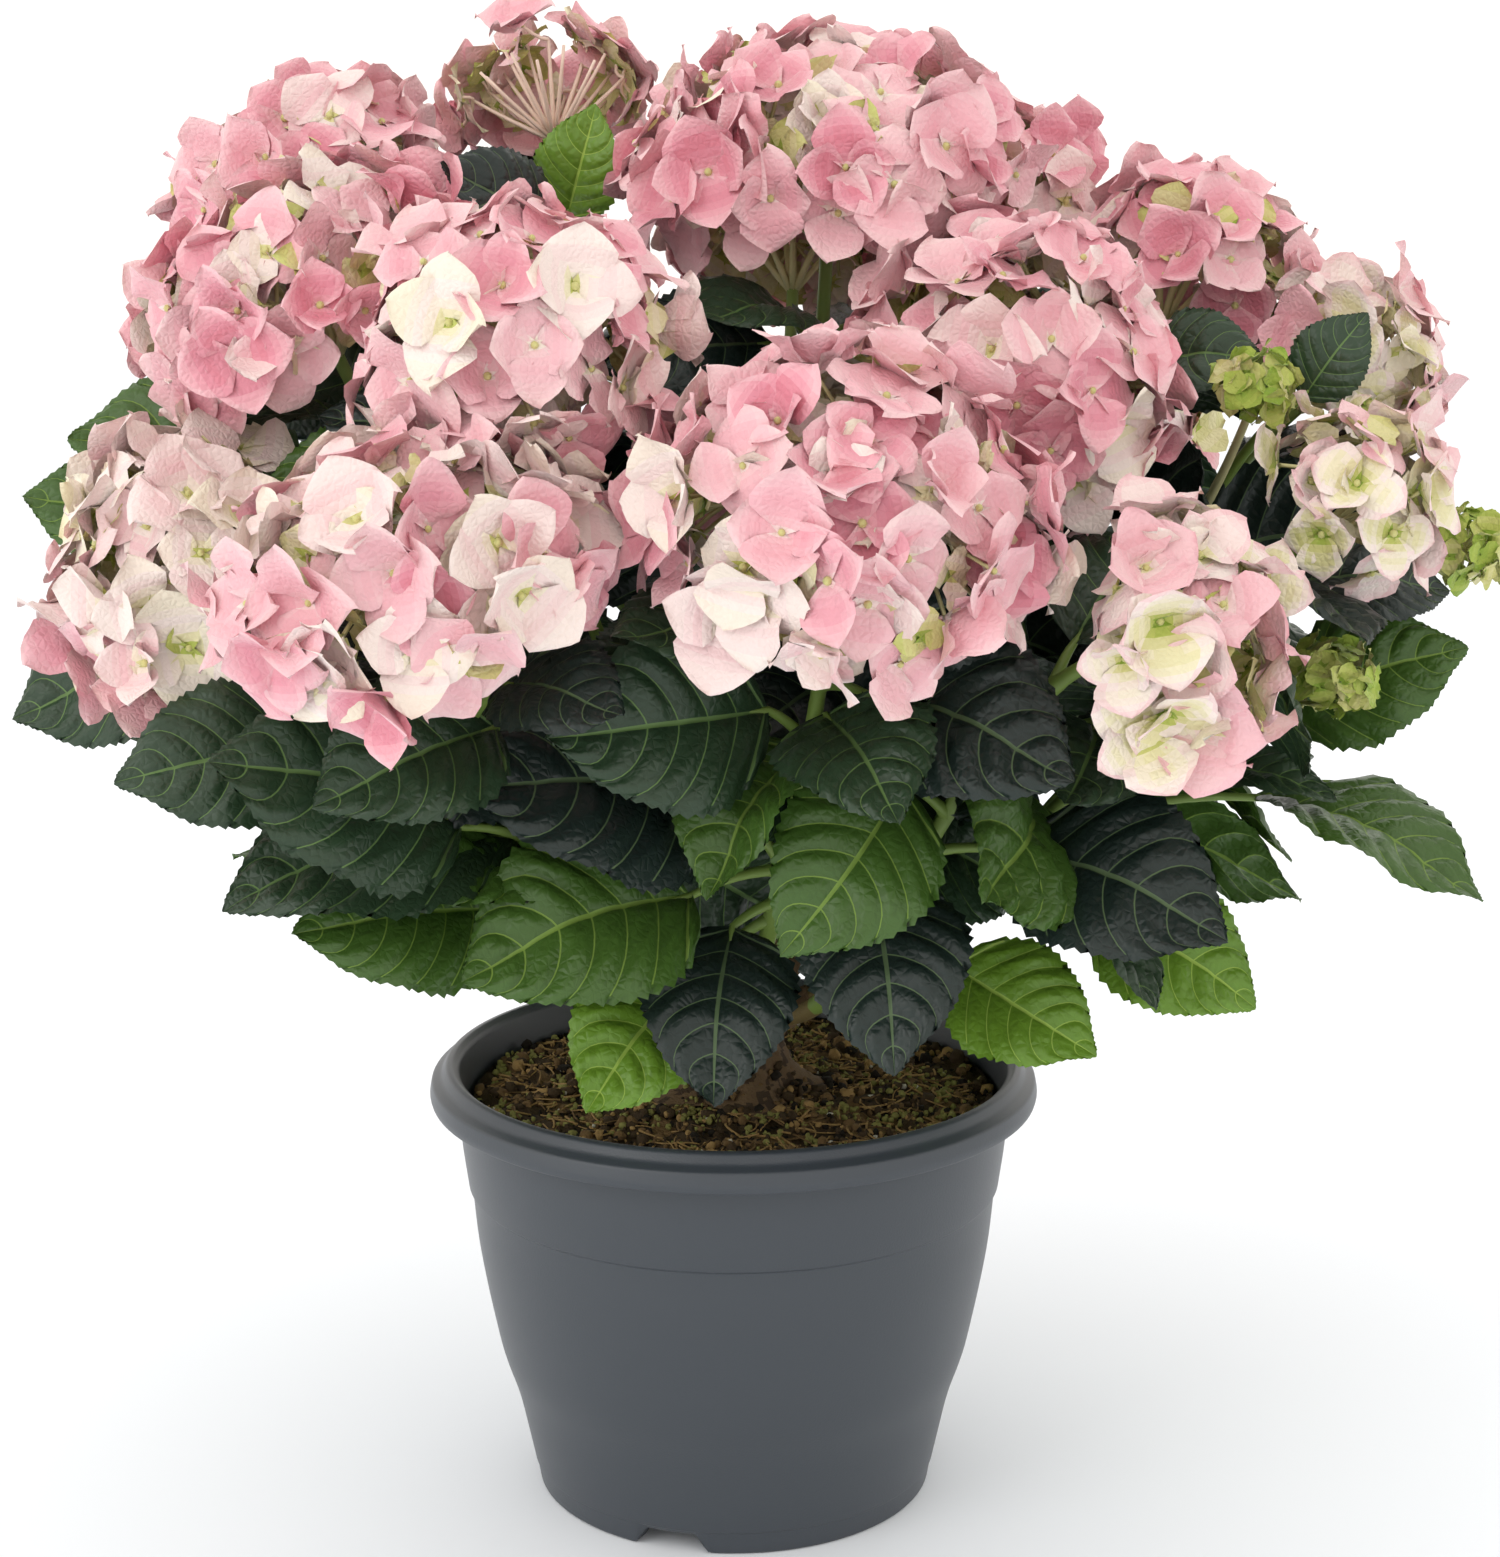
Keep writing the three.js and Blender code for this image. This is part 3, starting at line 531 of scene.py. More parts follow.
def tube(centres, radii, side, sides, closed=True):
    """A round limb through centres; side is any vector not along it."""
    centres = np.asarray(centres, float)
    tangents = np.gradient(centres, axis=0)
    tangents /= np.linalg.norm(tangents, axis=1)[:, None]
    first = side - tangents * (tangents @ side)[:, None]
    first /= np.linalg.norm(first, axis=1)[:, None]
    second = np.cross(tangents, first)
    turn = ring_turns(sides)
    radii = np.asarray(radii, float)
    if radii.ndim == 1:
        radii = radii[:, None]
    radii = np.broadcast_to(radii, (len(centres), sides))
    points = (centres[:, None, :] + radii[..., None] * (
        np.cos(turn)[None, :, None] * first[:, None, :] + np.sin(turn)[None, :, None] * second[:, None, :]))
    points = points.reshape(-1, 3)
    quads = grid_quads(len(centres), sides, wrap=True)
    if closed:
        ring = np.arange(sides)
        after = (ring + 1) % sides
        last = (len(centres) - 1) * sides
        foot_cap = fan(after, ring, len(points))
        tip_cap = fan(last + ring, last + after, len(points) + 1)
        points = np.concatenate([points, centres[:1], centres[-1:]])
        quads = np.concatenate([quads, foot_cap, tip_cap])
    return points, quads


def bead(centre, radius):
    """A small round body of 24 faces."""
    rings, sides = 4, 6
    step = np.arange(sides)
    after = (step + 1) % sides
    top = np.stack([np.zeros(sides, int), 1 + step, 1 + after, 1 + after], axis=-1)
    middle = grid_quads(rings - 1, sides, wrap=True)[:, ::-1] + 1
    last = 1 + (rings - 2) * sides
    bottom = fan(last + after, last + step, last + sides)
    polar = np.pi * np.arange(1, rings)[:, None] / rings
    turn = ring_turns(sides)
    bands = np.stack([np.sin(polar) * np.cos(turn), np.sin(polar) * np.sin(turn),
                      np.cos(polar) * np.ones(sides)], axis=-1)
    points = np.concatenate([[UP], bands.reshape(-1, 3), [-UP]])
    return centre + radius * points, np.concatenate([top, middle, bottom])


# ---- leaves

def blade_outline(along):
    fullness = np.sin(np.pi * np.clip(along, 0, 1) ** 0.82) ** 0.78
    return fullness * (1 - 0.3 * smoothstep(along, 0.78, 1.0))


def leaf_sheet():
    """The rows of a half blade follow its laterals. Returns for each corner its share along the blade,
    its share across, its phase between two laterals and its tooth; then the faces and which are veins."""
    rows = [-1.0, -0.8, -0.6, -0.4, -0.2, -0.024]
    for lateral in range(LEAF_LATERALS):
        rows += [lateral + part for part in LATERAL_ROWS]
    rows = np.array(rows + [LEAF_LATERALS - 0.02])
    columns = np.array(LEAF_COLUMNS)
    midrib = (np.clip(rows, 0, None) / LEAF_LATERALS) ** 0.92
    margin = np.where(rows < 0, BASAL_SHARE * (1 + rows),
                      BASAL_SHARE + (1 - BASAL_SHARE) * (1 - (1 - midrib) ** 1.75))
    across = np.concatenate([-columns[::-1], columns[1:]])
    size = np.abs(across)
    sweep = 0.45 * size + 0.55 * size ** 1.9
    along = midrib[:, None] + (margin - midrib)[:, None] * sweep[None, :]
    phase = np.where(rows < 0, 0.5, rows % 1)[:, None] * np.ones_like(size)[None, :]
    tooth_rows = np.where(np.arange(len(rows)) % 2 == 0, 1.0, -0.35)
    tooth_rows[:3] = 0
    tooth = tooth_rows[:, None] * (size > 0.97)[None, :]
    quads = grid_quads(len(rows), len(across))
    quad_row = quads[:, 0] // len(across)
    quad_column = quads[:, 0] % len(across)
    inner = size[quad_column] + size[quad_column + 1] < 0.05
    row_low, row_high = rows[quad_row], rows[quad_row + 1]
    row_middle = (row_low + row_high) / 2
    lateral = (row_high - row_low < 0.15) & (np.abs(np.round(row_middle) - row_middle) < 0.05)
    lateral &= (size[quad_column] + size[quad_column + 1]) / 2 < 0.9
    return along, np.broadcast_to(across, along.shape), phase, tooth, quads, inner | lateral


SHEET = leaf_sheet()


def leaf_blade(leaf, seed):
    """The blade of one leaf: arched, folded, quilted between its laterals and toothed."""
    along, across, phase, tooth, quads, is_vein = SHEET
    chance = np.random.RandomState(seed)
    size = np.abs(across)
    length = leaf.length
    half_width = LEAF_WIDTH / 2 * 1.08 * length * blade_outline(along)
    crowd = np.clip(1.15 - along, 0.3, 1)
    teeth = TOOTH_LENGTH * length * tooth * crowd * (along < 0.99)
    reach = half_width * size + teeth
    bulge = np.sin(np.pi * phase) ** 0.8 * size ** 0.55 * (1.02 - size) ** 0.45
    pucker = 1 + 0.4 * np.sin(2 * np.pi * (3.4 * size + 0.37 * np.floor(along * 9)))
    quilt = (pucker * QUILT_HEIGHT * length * mix(0.75, 1.2, chance.rand()) * bulge
             * np.clip(half_width / 18, 0.2, 1))
    groove = -0.012 * length * np.exp(-(size / 0.07) ** 2) * (1 - along)
    ripple_turns = chance.uniform(2.2, 3.4)
    ripple = (0.016 * length * size ** 2.2
              * np.sin(2 * np.pi * (ripple_turns * along + chance.rand() + 0.3 * np.sign(across))))
    curl = -mix(0.02, 0.07, chance.rand()) * length * size ** 3 * np.sin(np.pi * along)
    arch = LEAF_ARCH * length * 4 * along * (1 - along)
    tip_bend = (-mix(0.0, 0.05, chance.rand()) * length
                * np.sin(np.pi * np.clip((along - 0.6) / 0.4, 0, 1)))
    lift = arch + leaf.fold * half_width * size ** 1.1 + quilt + groove + ripple + curl + tip_bend
    twist = math.radians(chance.uniform(-14, 14)) * (along - 0.4)
    sideways = np.sign(across) * reach
    sway = chance.uniform(-0.035, 0.035) * length * np.sin(np.pi * along)
    level = sideways * np.cos(twist) - lift * np.sin(twist) + sway
    height = sideways * np.sin(twist) + lift * np.cos(twist)
    stretch = along * length + 0.4 * np.abs(teeth)
    points = (leaf.base[None, None, :] + stretch[..., None] * leaf.along
              + level[..., None] * leaf.across + height[..., None] * leaf.normal)
    return points.reshape(-1, 3), quads, is_vein


def petiole(leaf):
    bend = mix(leaf.root, leaf.base, 0.55) + np.array([0, 0, 0.12 * np.linalg.norm(leaf.root - leaf.base)])
    end = leaf.base + leaf.along * 0.1 * leaf.length + leaf.normal * LEAF_ARCH * leaf.length * 0.3
    places = np.linspace(0, 1, 7)
    centres = quadratic((leaf.root, bend, leaf.base), places)
    centres = np.concatenate([centres, [end]])
    radii = np.concatenate([mix(2.2, 1.45, places) + 0.9 * np.exp(-places * 14), [0.5]])
    side = leaf.across + 0.05
    return tube(centres, radii, side, 7)


# ---- florets

SEPAL_ROWS = (0.0, 0.1, 0.25, 0.42, 0.57, 0.71, 0.83, 0.92, 0.975, 1.0)
SEPAL_WIDTHS = (0.13, 0.37, 0.7, 0.94, 1.0, 0.95, 0.77, 0.5, 0.22, 0.01)
COARSE_ROWS = (0.0, 0.2, 0.48, 0.75, 0.93, 1.0)


def sepal_grid(variant, rows, columns):
    """A sepal in its own frame: x along it, y across, z out of its face. Broad, with a small point.
    Returns its points and faces, and how far each face belongs to the throat and to the rim."""
    chance = np.random.RandomState(700 + variant)
    draw = chance.uniform
    level = np.array(rows)[:, None]
    along = level * np.ones((1, columns))
    across = np.linspace(-1, 1, columns)[None, :] * np.ones((len(rows), 1))
    skew = draw(-0.05, 0.05)
    width = np.interp(np.clip(along ** draw(0.9, 1.15), 0, 1), SEPAL_ROWS, SEPAL_WIDTHS)
    width = width * draw(0.52, 0.66)
    x = along + 0.08 * along ** 12 - 0.08 * across ** 2 * np.sin(np.pi * along ** 1.5)
    frill = 1 + draw(0.02, 0.07) * np.sin(draw(3.5, 5.5) * np.pi * along + chance.rand() * 6)
    y = across * width * frill + skew * along ** 2
    cup = draw(-0.04, 0.3)
    reflex = draw(-0.34, 0.12)
    bowl = draw(-0.28, 0.24)
    crease = draw(0.02, 0.24)
    wave = draw(0.04, 0.12)
    z = (cup * along ** 1.5 + reflex * along ** 3 + bowl * (across * width) ** 2
         + crease * np.abs(across) * width
         + wave * np.sin(draw(2.0, 3.6) * np.pi * along + chance.rand() * 6) * across ** 3
         + 0.016 * np.cos(3 * np.pi * across) * np.sin(np.pi * along))
    quads = grid_quads(len(rows), columns)
    band = along[:-1, :-1].ravel() + 0.5 * np.repeat(np.diff(rows), columns - 1)
    side = np.abs(across[:-1, :-1] + across[:-1, 1:]).ravel() / 2
    throat = np.interp(band, (0.0, 0.1, 0.22, 0.5, 0.8), (3.6, 1.8, 0.2, -0.7, 0.0))
    rim = np.clip(np.interp(band, (0.62, 0.8, 0.92, 1.0), (0.0, 0.35, 0.7, 1.0)) + 0.7 * side ** 3, 0, 1)
    return np.stack([x, y, z], axis=-1).reshape(-1, 3), quads, throat, rim


SEPALS = [sepal_grid(variant, SEPAL_ROWS, 7) for variant in range(SEPAL_VARIANTS)]
COARSE_SEPALS = [sepal_grid(variant, COARSE_ROWS, 5) for variant in range(SEPAL_VARIANTS)]


def add_floret(pile, centre, outward, size, spin, tone, chance, sepals=None, blushing=False):
    """Four overlapping sepals. Their tone pales toward throat and rim; blushing ones have a pink rim."""
    sepals = sepals or SEPALS
    first = square_to(outward, toward(spin, 7.0))
    second = np.cross(outward, first)
    openness = math.radians(chance.uniform(-6, 34))
    for step in range(4):
        points, quads, throat, rim = sepals[chance.randint(len(sepals))]
        turn = math.radians(90 * step + chance.uniform(-8, 8))
        along = first * math.cos(turn) + second * math.sin(turn)
        across = np.cross(outward, along)
        tilt = openness + math.radians(chance.uniform(-13, 13))
        raised = along * math.cos(tilt) + outward * math.sin(tilt)
        face = outward * math.cos(tilt) - along * math.sin(tilt)
        scale = size * chance.uniform(0.88, 1.08) * (1.05 if step % 2 else 0.97)
        lift = 0.6 * (step % 2)
        spread = (centre + outward * lift
                  + scale * (points[:, :1] * raised + points[:, 1:2] * across + points[:, 2:] * face))
        blush = tone + chance.uniform(-0.5, 0.5)
        edge = 0.65 * (BLUSH_TONE - blush) if blushing else 0.55 * max(0.0, RIM_TONE - blush)
        glow = 1.7 if blushing else 1.3 if blush > 6 else 1.0
        shade = (blush + throat * glow + rim * edge) * TONE_STEPS
        pile.add(spread, quads, np.clip(np.round(shade), 0, len(PETAL_TONES) - 1).astype(int))


def floret_places(head, count, seed, limit):
    draw = Draw(seed)
    floor = cosine(limit)
    middle = head.point(head.radius * 0.12, 180, 0)
    for i in range(count):
        polar = math.degrees(math.acos(mix(1, floor, (i + 0.5) / count)))
        turn = i * GOLDEN_TURN + 14 * (draw() - 0.5)
        centre = head.point(head.radius * (0.82 + 0.16 * draw()), polar, turn)
        yield centre, unit(centre - middle), 360 * draw(), polar


# The petals' tones, from the deepest pink through blush and cream to young green
TONE_ROW = np.array([
    (210, 118, 136), (219, 137, 152), (226, 153, 167), (231, 167, 178), (234, 179, 187), (236, 189, 195),
    (237, 198, 201), (239, 214, 212), (241, 227, 220), (238, 229, 208), (228, 222, 178), (208, 206, 138),
    (186, 194, 104), (166, 184, 80), (142, 169, 62),
])
TONE_STEPS = 2  # shades from one tone of the row to the next
PETAL_TONES = [tuple(np.round([np.interp(shade / TONE_STEPS, range(len(TONE_ROW)), TONE_ROW[:, channel])
                               for channel in range(3)]))
               for shade in range(TONE_STEPS * (len(TONE_ROW) - 1) + 1)]
EYE_SHADE, LIME_SHADE = 11 * TONE_STEPS, 13 * TONE_STEPS
RIM_TONE = 7.6  # what the rim of a deeper sepal pales toward
BLUSH_TONE = 4.6  # what the rim of a blushing sepal nears


def floret_tone(shoot, centre, chance):
    """Where a floret lies in the row of tones: paler and greener near the top of a cream head."""
    height = (centre[2] - shoot.head.centre[2]) / shoot.head.radius
    share_pale = {"pink": 0.12, "pale": 0.24, "green": 0.8,
                  "cream": mix(0.15, 0.85, float(smoothstep(height, -0.1, 0.4))),
                  "ivory": mix(0.45, 1.0, float(smoothstep(height, -0.5, 0.1)))}[shoot.tone]
    if chance.rand() < share_pale:
        return chance.uniform(*{"green": (7.4, 11.4), "ivory": (6.8, 9.4)}.get(shoot.tone, (6.8, 8.8)))
    ripe = {"pink": (1.3, 5.3), "pale": (2.0, 5.8), "cream": (1.0, 5.2), "ivory": (2.0, 6.4),
            "green": (3.2, 8.0)}[shoot.tone]
    return chance.uniform(*ripe)


def bare_side(shoot, polar, outward):
    """Whether a place on a head has lost its florets, so that the rays inside show."""
    return shoot.name in BARE_HEADS and polar > BARE_FROM and outward[1] < -0.1


def bloom(shoot, shoots, petals, stalks):
    """A head: open florets over the dome, small young ones beneath them, and the rays that carry all."""
    head = shoot.head
    chance = np.random.RandomState(900 + shoot.index)
    dome = 2 * math.pi * head.radius ** 2 * (1 - cosine(FLORET_LIMIT)) * mix(1, head.flatness, 0.5)
    count = max(16, round(dome / FLORET_AREA))
    size = float(np.clip(0.82 * math.sqrt(dome / count), 13, 18.5))
    others = [other.head for other in shoots if other is not shoot]
    fork = shoot.point(0.97)
    bare = shoot.name in BARE_HEADS
    ray_slot, thin, ray_reach = (STALK_PINK, 0.68, 0.74) if bare else (STALK_PALE, 1.0, 0.55)
    # Bare heads show their florets' undersides: young ones greener, and every tone lifted by painted light
    # that lightens the shade on those undersides.
    young_tones, painted_lift = ((9.4, 12.4), 1.4) if bare else ((7.6, 11.8), 0.0)
    ray_places = [(12, 0)] + [(62, 360 * i / (RAY_COUNT - 1)) for i in range(RAY_COUNT - 1)]
    if bare:
        ray_places += [(38, 60 * i + 20) for i in range(6)] + [(84, 45 * i + 22) for i in range(8)]
    rays = [head.point(head.radius * ray_reach, polar, turn) for polar, turn in ray_places]

    def in_another(place, share):
        return any(other.depth(place) < share for other in others)

    for ray in rays:
        bend = mix(fork, ray, 0.5) + unit(ray - head.centre + 1e-3) * 0.06 * head.radius
        centres = quadratic((fork, bend, ray), np.linspace(0, 1, 5))
        stalks.add(*tube(centres, thin * np.linspace(1.5, 0.9, 5), head.first + 0.1, 6), ray_slot)
    for centre, outward, spin, polar in floret_places(
            head, count, 300 + 31 * shoot.index, FLORET_LIMIT + 4):
        if in_another(centre, 0.86) or bare_side(shoot, polar, outward):
            continue
        tilt = unit(outward + chance.normal(0, 0.3, 3))
        # Painted light: a bare head's florets are paler to lift the shade on their undersides.
        tone = floret_tone(shoot, centre, chance) + painted_lift
        add_floret(petals, centre, tilt, size * chance.uniform(0.84, 1.14), spin, tone, chance,
                   blushing=shoot.tone == "green")
        petals.add(*bead(centre + tilt * 1.3, EYE_RADIUS * chance.uniform(0.85, 1.15)), EYE_SHADE)
        add_pedicel(stalks, rays, centre, tilt, chance, ray_slot)
    for centre, outward, spin, polar in floret_places(
            head, round(YOUNG_SHARE * count), 611 + 31 * shoot.index, FLORET_LIMIT):
        young = head.centre + (centre - head.centre) * chance.uniform(0.78, 0.96)
        if in_another(young, 0.9) or bare_side(shoot, polar + 14, outward):
            continue
        tilt = unit(outward + chance.normal(0, 0.4, 3))
        young_size = size * chance.uniform(0.5, 0.78)
        add_floret(petals, young, tilt, young_size, spin, chance.uniform(*young_tones), chance,
                   COARSE_SEPALS)
        add_pedicel(stalks, rays, young, tilt, chance, ray_slot)


def add_pedicel(stalks, rays, centre, outward, chance, slot):
    ray = min(rays, key=lambda start: np.linalg.norm(start - centre))
    bend = mix(ray, centre - outward * 6, 0.6)
    centres = quadratic((ray, bend, centre), np.linspace(0, 1, 4))
    side = THREAD_SIDE + chance.uniform(-0.1, 0.1, 3)
    stalks.add(*tube(centres, PEDICEL_RADIUS, side, 4, closed=False), slot)


def young_head(shoot, place, centre, radius, petals, stalks, seed):
    """A tight knob of green buds and a few small florets."""
    centre = np.array(centre, float)
    chance = np.random.RandomState(seed)
    root = shoot.point(place)
    bend = mix(root, centre, 0.6) + np.array([0, 0, -6.0])
    stalks.add(*tube(quadratic((root, bend, centre), np.linspace(0, 1, 8)), np.linspace(1.9, 1.4, 8),
                     np.array([0.1, 0.2, 1.0]), 7), STALK_PALE)
    head = Head(centre, radius, 0.85, 20, 300)
    for at, outward, spin, _ in floret_places(head, 26, seed, 150):
        tilt = unit(outward + chance.normal(0, 0.3, 3))
        add_floret(petals, at, tilt, chance.uniform(5.5, 8.0), spin, chance.uniform(11, 14), chance,
                   COARSE_SEPALS)
        petals.add(*bead(mix(centre, at, 0.8), chance.uniform(1.4, 2.2)), LIME_SHADE)
        stalks.add(*tube(np.linspace(centre, at, 3), 0.6, THREAD_SIDE, 4, closed=False), STALK_PALE)


# ---- stems and crown

STALK_GREEN, STALK_PALE, STALK_WOOD, STALK_PINK = range(4)


def shoot_stem(shoot, stalks):
    """A green limb with a swollen node at each leaf pair, woody at its foot."""
    places = np.linspace(0, 0.985, 64)
    radii = np.array([mix(SHOOT_FOOT_RADIUS, SHOOT_TIP_RADIUS, place) for place in places])
    for pair in range(shoot.pairs):
        node = node_place(pair / (shoot.pairs - 1))
        radii += 0.75 * np.exp(-((places - node) / 0.012) ** 2)
    start = KNUCKLE_CENTRE + shoot.direction * (STUB_REACH - 4)
    centres = np.concatenate([[start], cubic(shoot.route, places)])
    radii = np.concatenate([[SHOOT_FOOT_RADIUS + 0.3], radii])
    sides, woody_rows = 12, 7
    ridges = 1 + 0.035 * np.cos(6 * ring_turns(sides))[None, :] * np.ones((len(centres), 1))
    points, quads = tube(centres, radii[:, None] * ridges, shoot.side, sides)
    slots = np.full(len(quads), STALK_GREEN)
    slots[:sides * woody_rows] = STALK_WOOD
    stalks.add(points, quads, slots)


NOISE_CELLS = 64


@functools.lru_cache
def noise_lattice(seed):
    return np.random.RandomState(seed).uniform(-1, 1, (NOISE_CELLS,) * 3)


def value_noise(points, size, seed):
    """Smooth noise between -1 and 1 over points, with cells of a given size."""
    lattice = noise_lattice(seed)
    scaled = points / size + 1000
    cell = np.floor(scaled).astype(int)
    part = scaled - cell
    part = part * part * (3 - 2 * part)
    total = 0
    for offset in np.ndindex(2, 2, 2):
        weight = np.where(offset, part, 1 - part).prod(axis=-1)
        corner = (cell + offset) % NOISE_CELLS
        total = total + weight * lattice[corner[..., 0], corner[..., 1], corner[..., 2]]
    return total


def barked(points, centre_line, depth, seed):
    """Bark relief: long cracks and small scales pushed out from a limb's axis."""
    outward = points - centre_line
    reach = np.linalg.norm(outward, axis=-1, keepdims=True)
    outward = outward / np.maximum(reach, 1e-6)
    stretched = points * np.array([1, 1, 0.28])
    relief = (np.abs(value_noise(stretched, 2.6, seed)) * -1.3 + 0.6 * value_noise(points, 1.1, seed + 1)
              + 0.7 * value_noise(points, 7, seed + 2))
    return points + outward * depth * relief[..., None]


def crown_piece(shoots):
    """The trunk with its flare and knuckle, cracked by patches, and a stub for every shoot."""
    pile = Pile()
    sides, wall_rows, cap_rows = 84, 50, 20
    top = KNUCKLE_CENTRE[2] + KNUCKLE_RADIUS
    heights = np.array([0, 0.5, 2, 4, 8, 11, 18, 26, top - 9 - CROWN_FOOT, top - 4.5 - CROWN_FOOT,
                        top - 2 - CROWN_FOOT, top - CROWN_FOOT])
    radii = np.array([33, 32.4, 29, 26, 22, 20, 17.5, KNUCKLE_RADIUS, 16.5, 12, 7, 0.1])
    level = np.concatenate([np.linspace(0, 35, wall_rows), np.linspace(35.5, heights[-1], cap_rows)])
    radius = np.interp(level, heights, radii)
    turn = ring_turns(sides)
    flare = 1 + 0.16 * np.cos(5 * turn)[None, :] * np.clip(1 - level / 16, 0, 1)[:, None]
    axis = np.stack([CROWN_LEAN * level, -0.5 * CROWN_LEAN * level, CROWN_FOOT + level], axis=-1)
    axis = axis[:, None, :]
    around = radius[:, None] * flare
    points = axis + np.stack([around * np.cos(turn), around * np.sin(turn), 0 * around], axis=-1)
    barky = barked(points, axis, 1.3, 5).reshape(-1, 3)
    quads = grid_quads(wall_rows + cap_rows, sides, wrap=True)
    patches = value_noise(barky[quads].mean(axis=1) * [1, 1, 0.4], 2.4, 9)
    pile.add(barky, quads, np.where(patches > 0.12, 1, 0))
    rings, stub_sides = 26, 20
    share = np.linspace(0, 1, rings)
    swell = STUB_RADIUS + 1.2 - 1.6 * share + 0.8 * np.exp(-np.linspace(6, 0, rings))
    for shoot in shoots:
        ends = KNUCKLE_CENTRE + np.linspace(6, STUB_REACH, rings)[:, None] * shoot.direction
        stub_points, stub_quads = tube(ends, swell, shoot.side + 0.01, stub_sides)
        middle = np.concatenate([np.repeat(ends, stub_sides, axis=0), ends[:1], ends[-1:] - 1e-3])
        pile.add(barked(stub_points, middle, 0.45, 11 + shoot.index), stub_quads, 0)
    return pile


# ---- pot and soil

POT_PROFILE = [
    # radius, height, how round the corner is
    (0.0, 0.0, 0), (BOSS_RADIUS, 0.0, 0.8), (BOSS_RADIUS, RECESS_HEIGHT, 0.6),
    (FOOT_RING_INNER, RECESS_HEIGHT, 1.2), (FOOT_RING_INNER + 1, 0.0, 0.6),
    (FOOT_RADIUS - 1, 0.0, 0.8), (FOOT_RADIUS, 0.8, 1.2), (76.9, 9.0, 0.3), (77.4, 9.4, 0.2),
    (78.6, 15, 6), (83.5, 38, 14), (89.3, 54, 14), (94.6, 80, 12), (97.8, 99, 10),
    (99.6, 119.3, 0.6), (100.9, 120.3, 0.5), (103.2, 137, 6), (104.5, 153.2, 1), (104.5, 162, 1),
    (RIM_RADIUS - 3.4, 162, 0.9), (RIM_RADIUS - 2.8, 153.9, 0.4), (RIM_RADIUS - 0.8, 153.9, 0.8),
    (RIM_RADIUS, 156.5, 1.4), (RIM_RADIUS - 0.9, 161.6, 1.0), (RIM_RADIUS - 4.4, 163.4, 1.2),
    (RIM_RADIUS - 6.4, POT_HEIGHT - 0.4, 1.2), (RIM_RADIUS - 8.6, POT_HEIGHT, 0.6),
    (RIM_RADIUS - 11.2, POT_HEIGHT - 2.0, 2.0), (102.3 - WALL, 152, 4), (101 - WALL, 126, 6),
    (94.6 - WALL, 80, 8), (83.5 - WALL, 38, 8), (FOOT_RADIUS - 1.5, BASE_TOP, 1), (0.0, BASE_TOP, 0),
]
POT_SIDES = 132


def rounded(profile, steps=4):
    """A profile with each corner replaced by a short curve."""
    places = np.array([row[:2] for row in profile], float)
    result = [places[0]]
    for i in range(1, len(places) - 1):
        before, here, after = places[i - 1], places[i], places[i + 1]
        back, on = before - here, after - here
        reach = min(profile[i][2], 0.45 * np.linalg.norm(back), 0.45 * np.linalg.norm(on))
        if reach <= 0:
            result.append(here)
            continue
        start, end = here + unit(back) * reach, here + unit(on) * reach
        result += list(quadratic((start, here, end), np.linspace(0, 1, steps + 1)))
    result.append(places[-1])
    return np.array(result)


def pot_piece():
    """The pot turned about its axis, with three notches pressed into its foot ring."""
    pile = Pile()
    profile = rounded(POT_PROFILE)[1:-1]
    turns = np.linspace(0, 2 * np.pi, POT_SIDES, endpoint=False)
    notches = [math.radians(NOTCH_AZIMUTH + 360 * i / NOTCH_COUNT) for i in range(NOTCH_COUNT)]
    extra = []
    for middle in notches:
        for offset in np.linspace(NOTCH_TOP / 2 - 0.6, NOTCH_FOOT / 2 + 0.6, 7) / NOTCH_RING:
            extra += [middle + offset, middle - offset]
    turns = np.unique(np.round(np.concatenate([turns, np.mod(extra, 2 * np.pi)]), 5))
    radius, height = profile[:, :1], profile[:, 1:] * np.ones(len(turns))
    points = np.stack([radius * np.cos(turns), radius * np.sin(turns), height], axis=-1)
    near_foot = (height < RECESS_HEIGHT) & (radius > (BOSS_RADIUS + FOOT_RADIUS) / 2)
    slope = RECESS_HEIGHT * 2 / (NOTCH_FOOT - NOTCH_TOP)
    for middle in notches:
        away = np.abs((turns - middle + np.pi) % (2 * np.pi) - np.pi) * NOTCH_RING
        ceiling = np.clip((NOTCH_FOOT / 2 - away) * slope, 0, RECESS_HEIGHT)[None, :]
        points[..., 2] = np.where(near_foot, np.maximum(points[..., 2], ceiling), points[..., 2])
    count = len(turns)
    last, total = (len(profile) - 1) * count, len(profile) * count
    step = np.arange(count)
    after = (step + 1) % count
    middles = [[0, 0, POT_PROFILE[0][1]], [0, 0, POT_PROFILE[-1][1]]]
    quads = [grid_quads(len(profile), count, wrap=True), fan(after, step, total),
             fan(last + step, last + after, total + 1)]
    pile.add(np.concatenate([points.reshape(-1, 3), middles]), np.concatenate(quads), 0)
    return pile


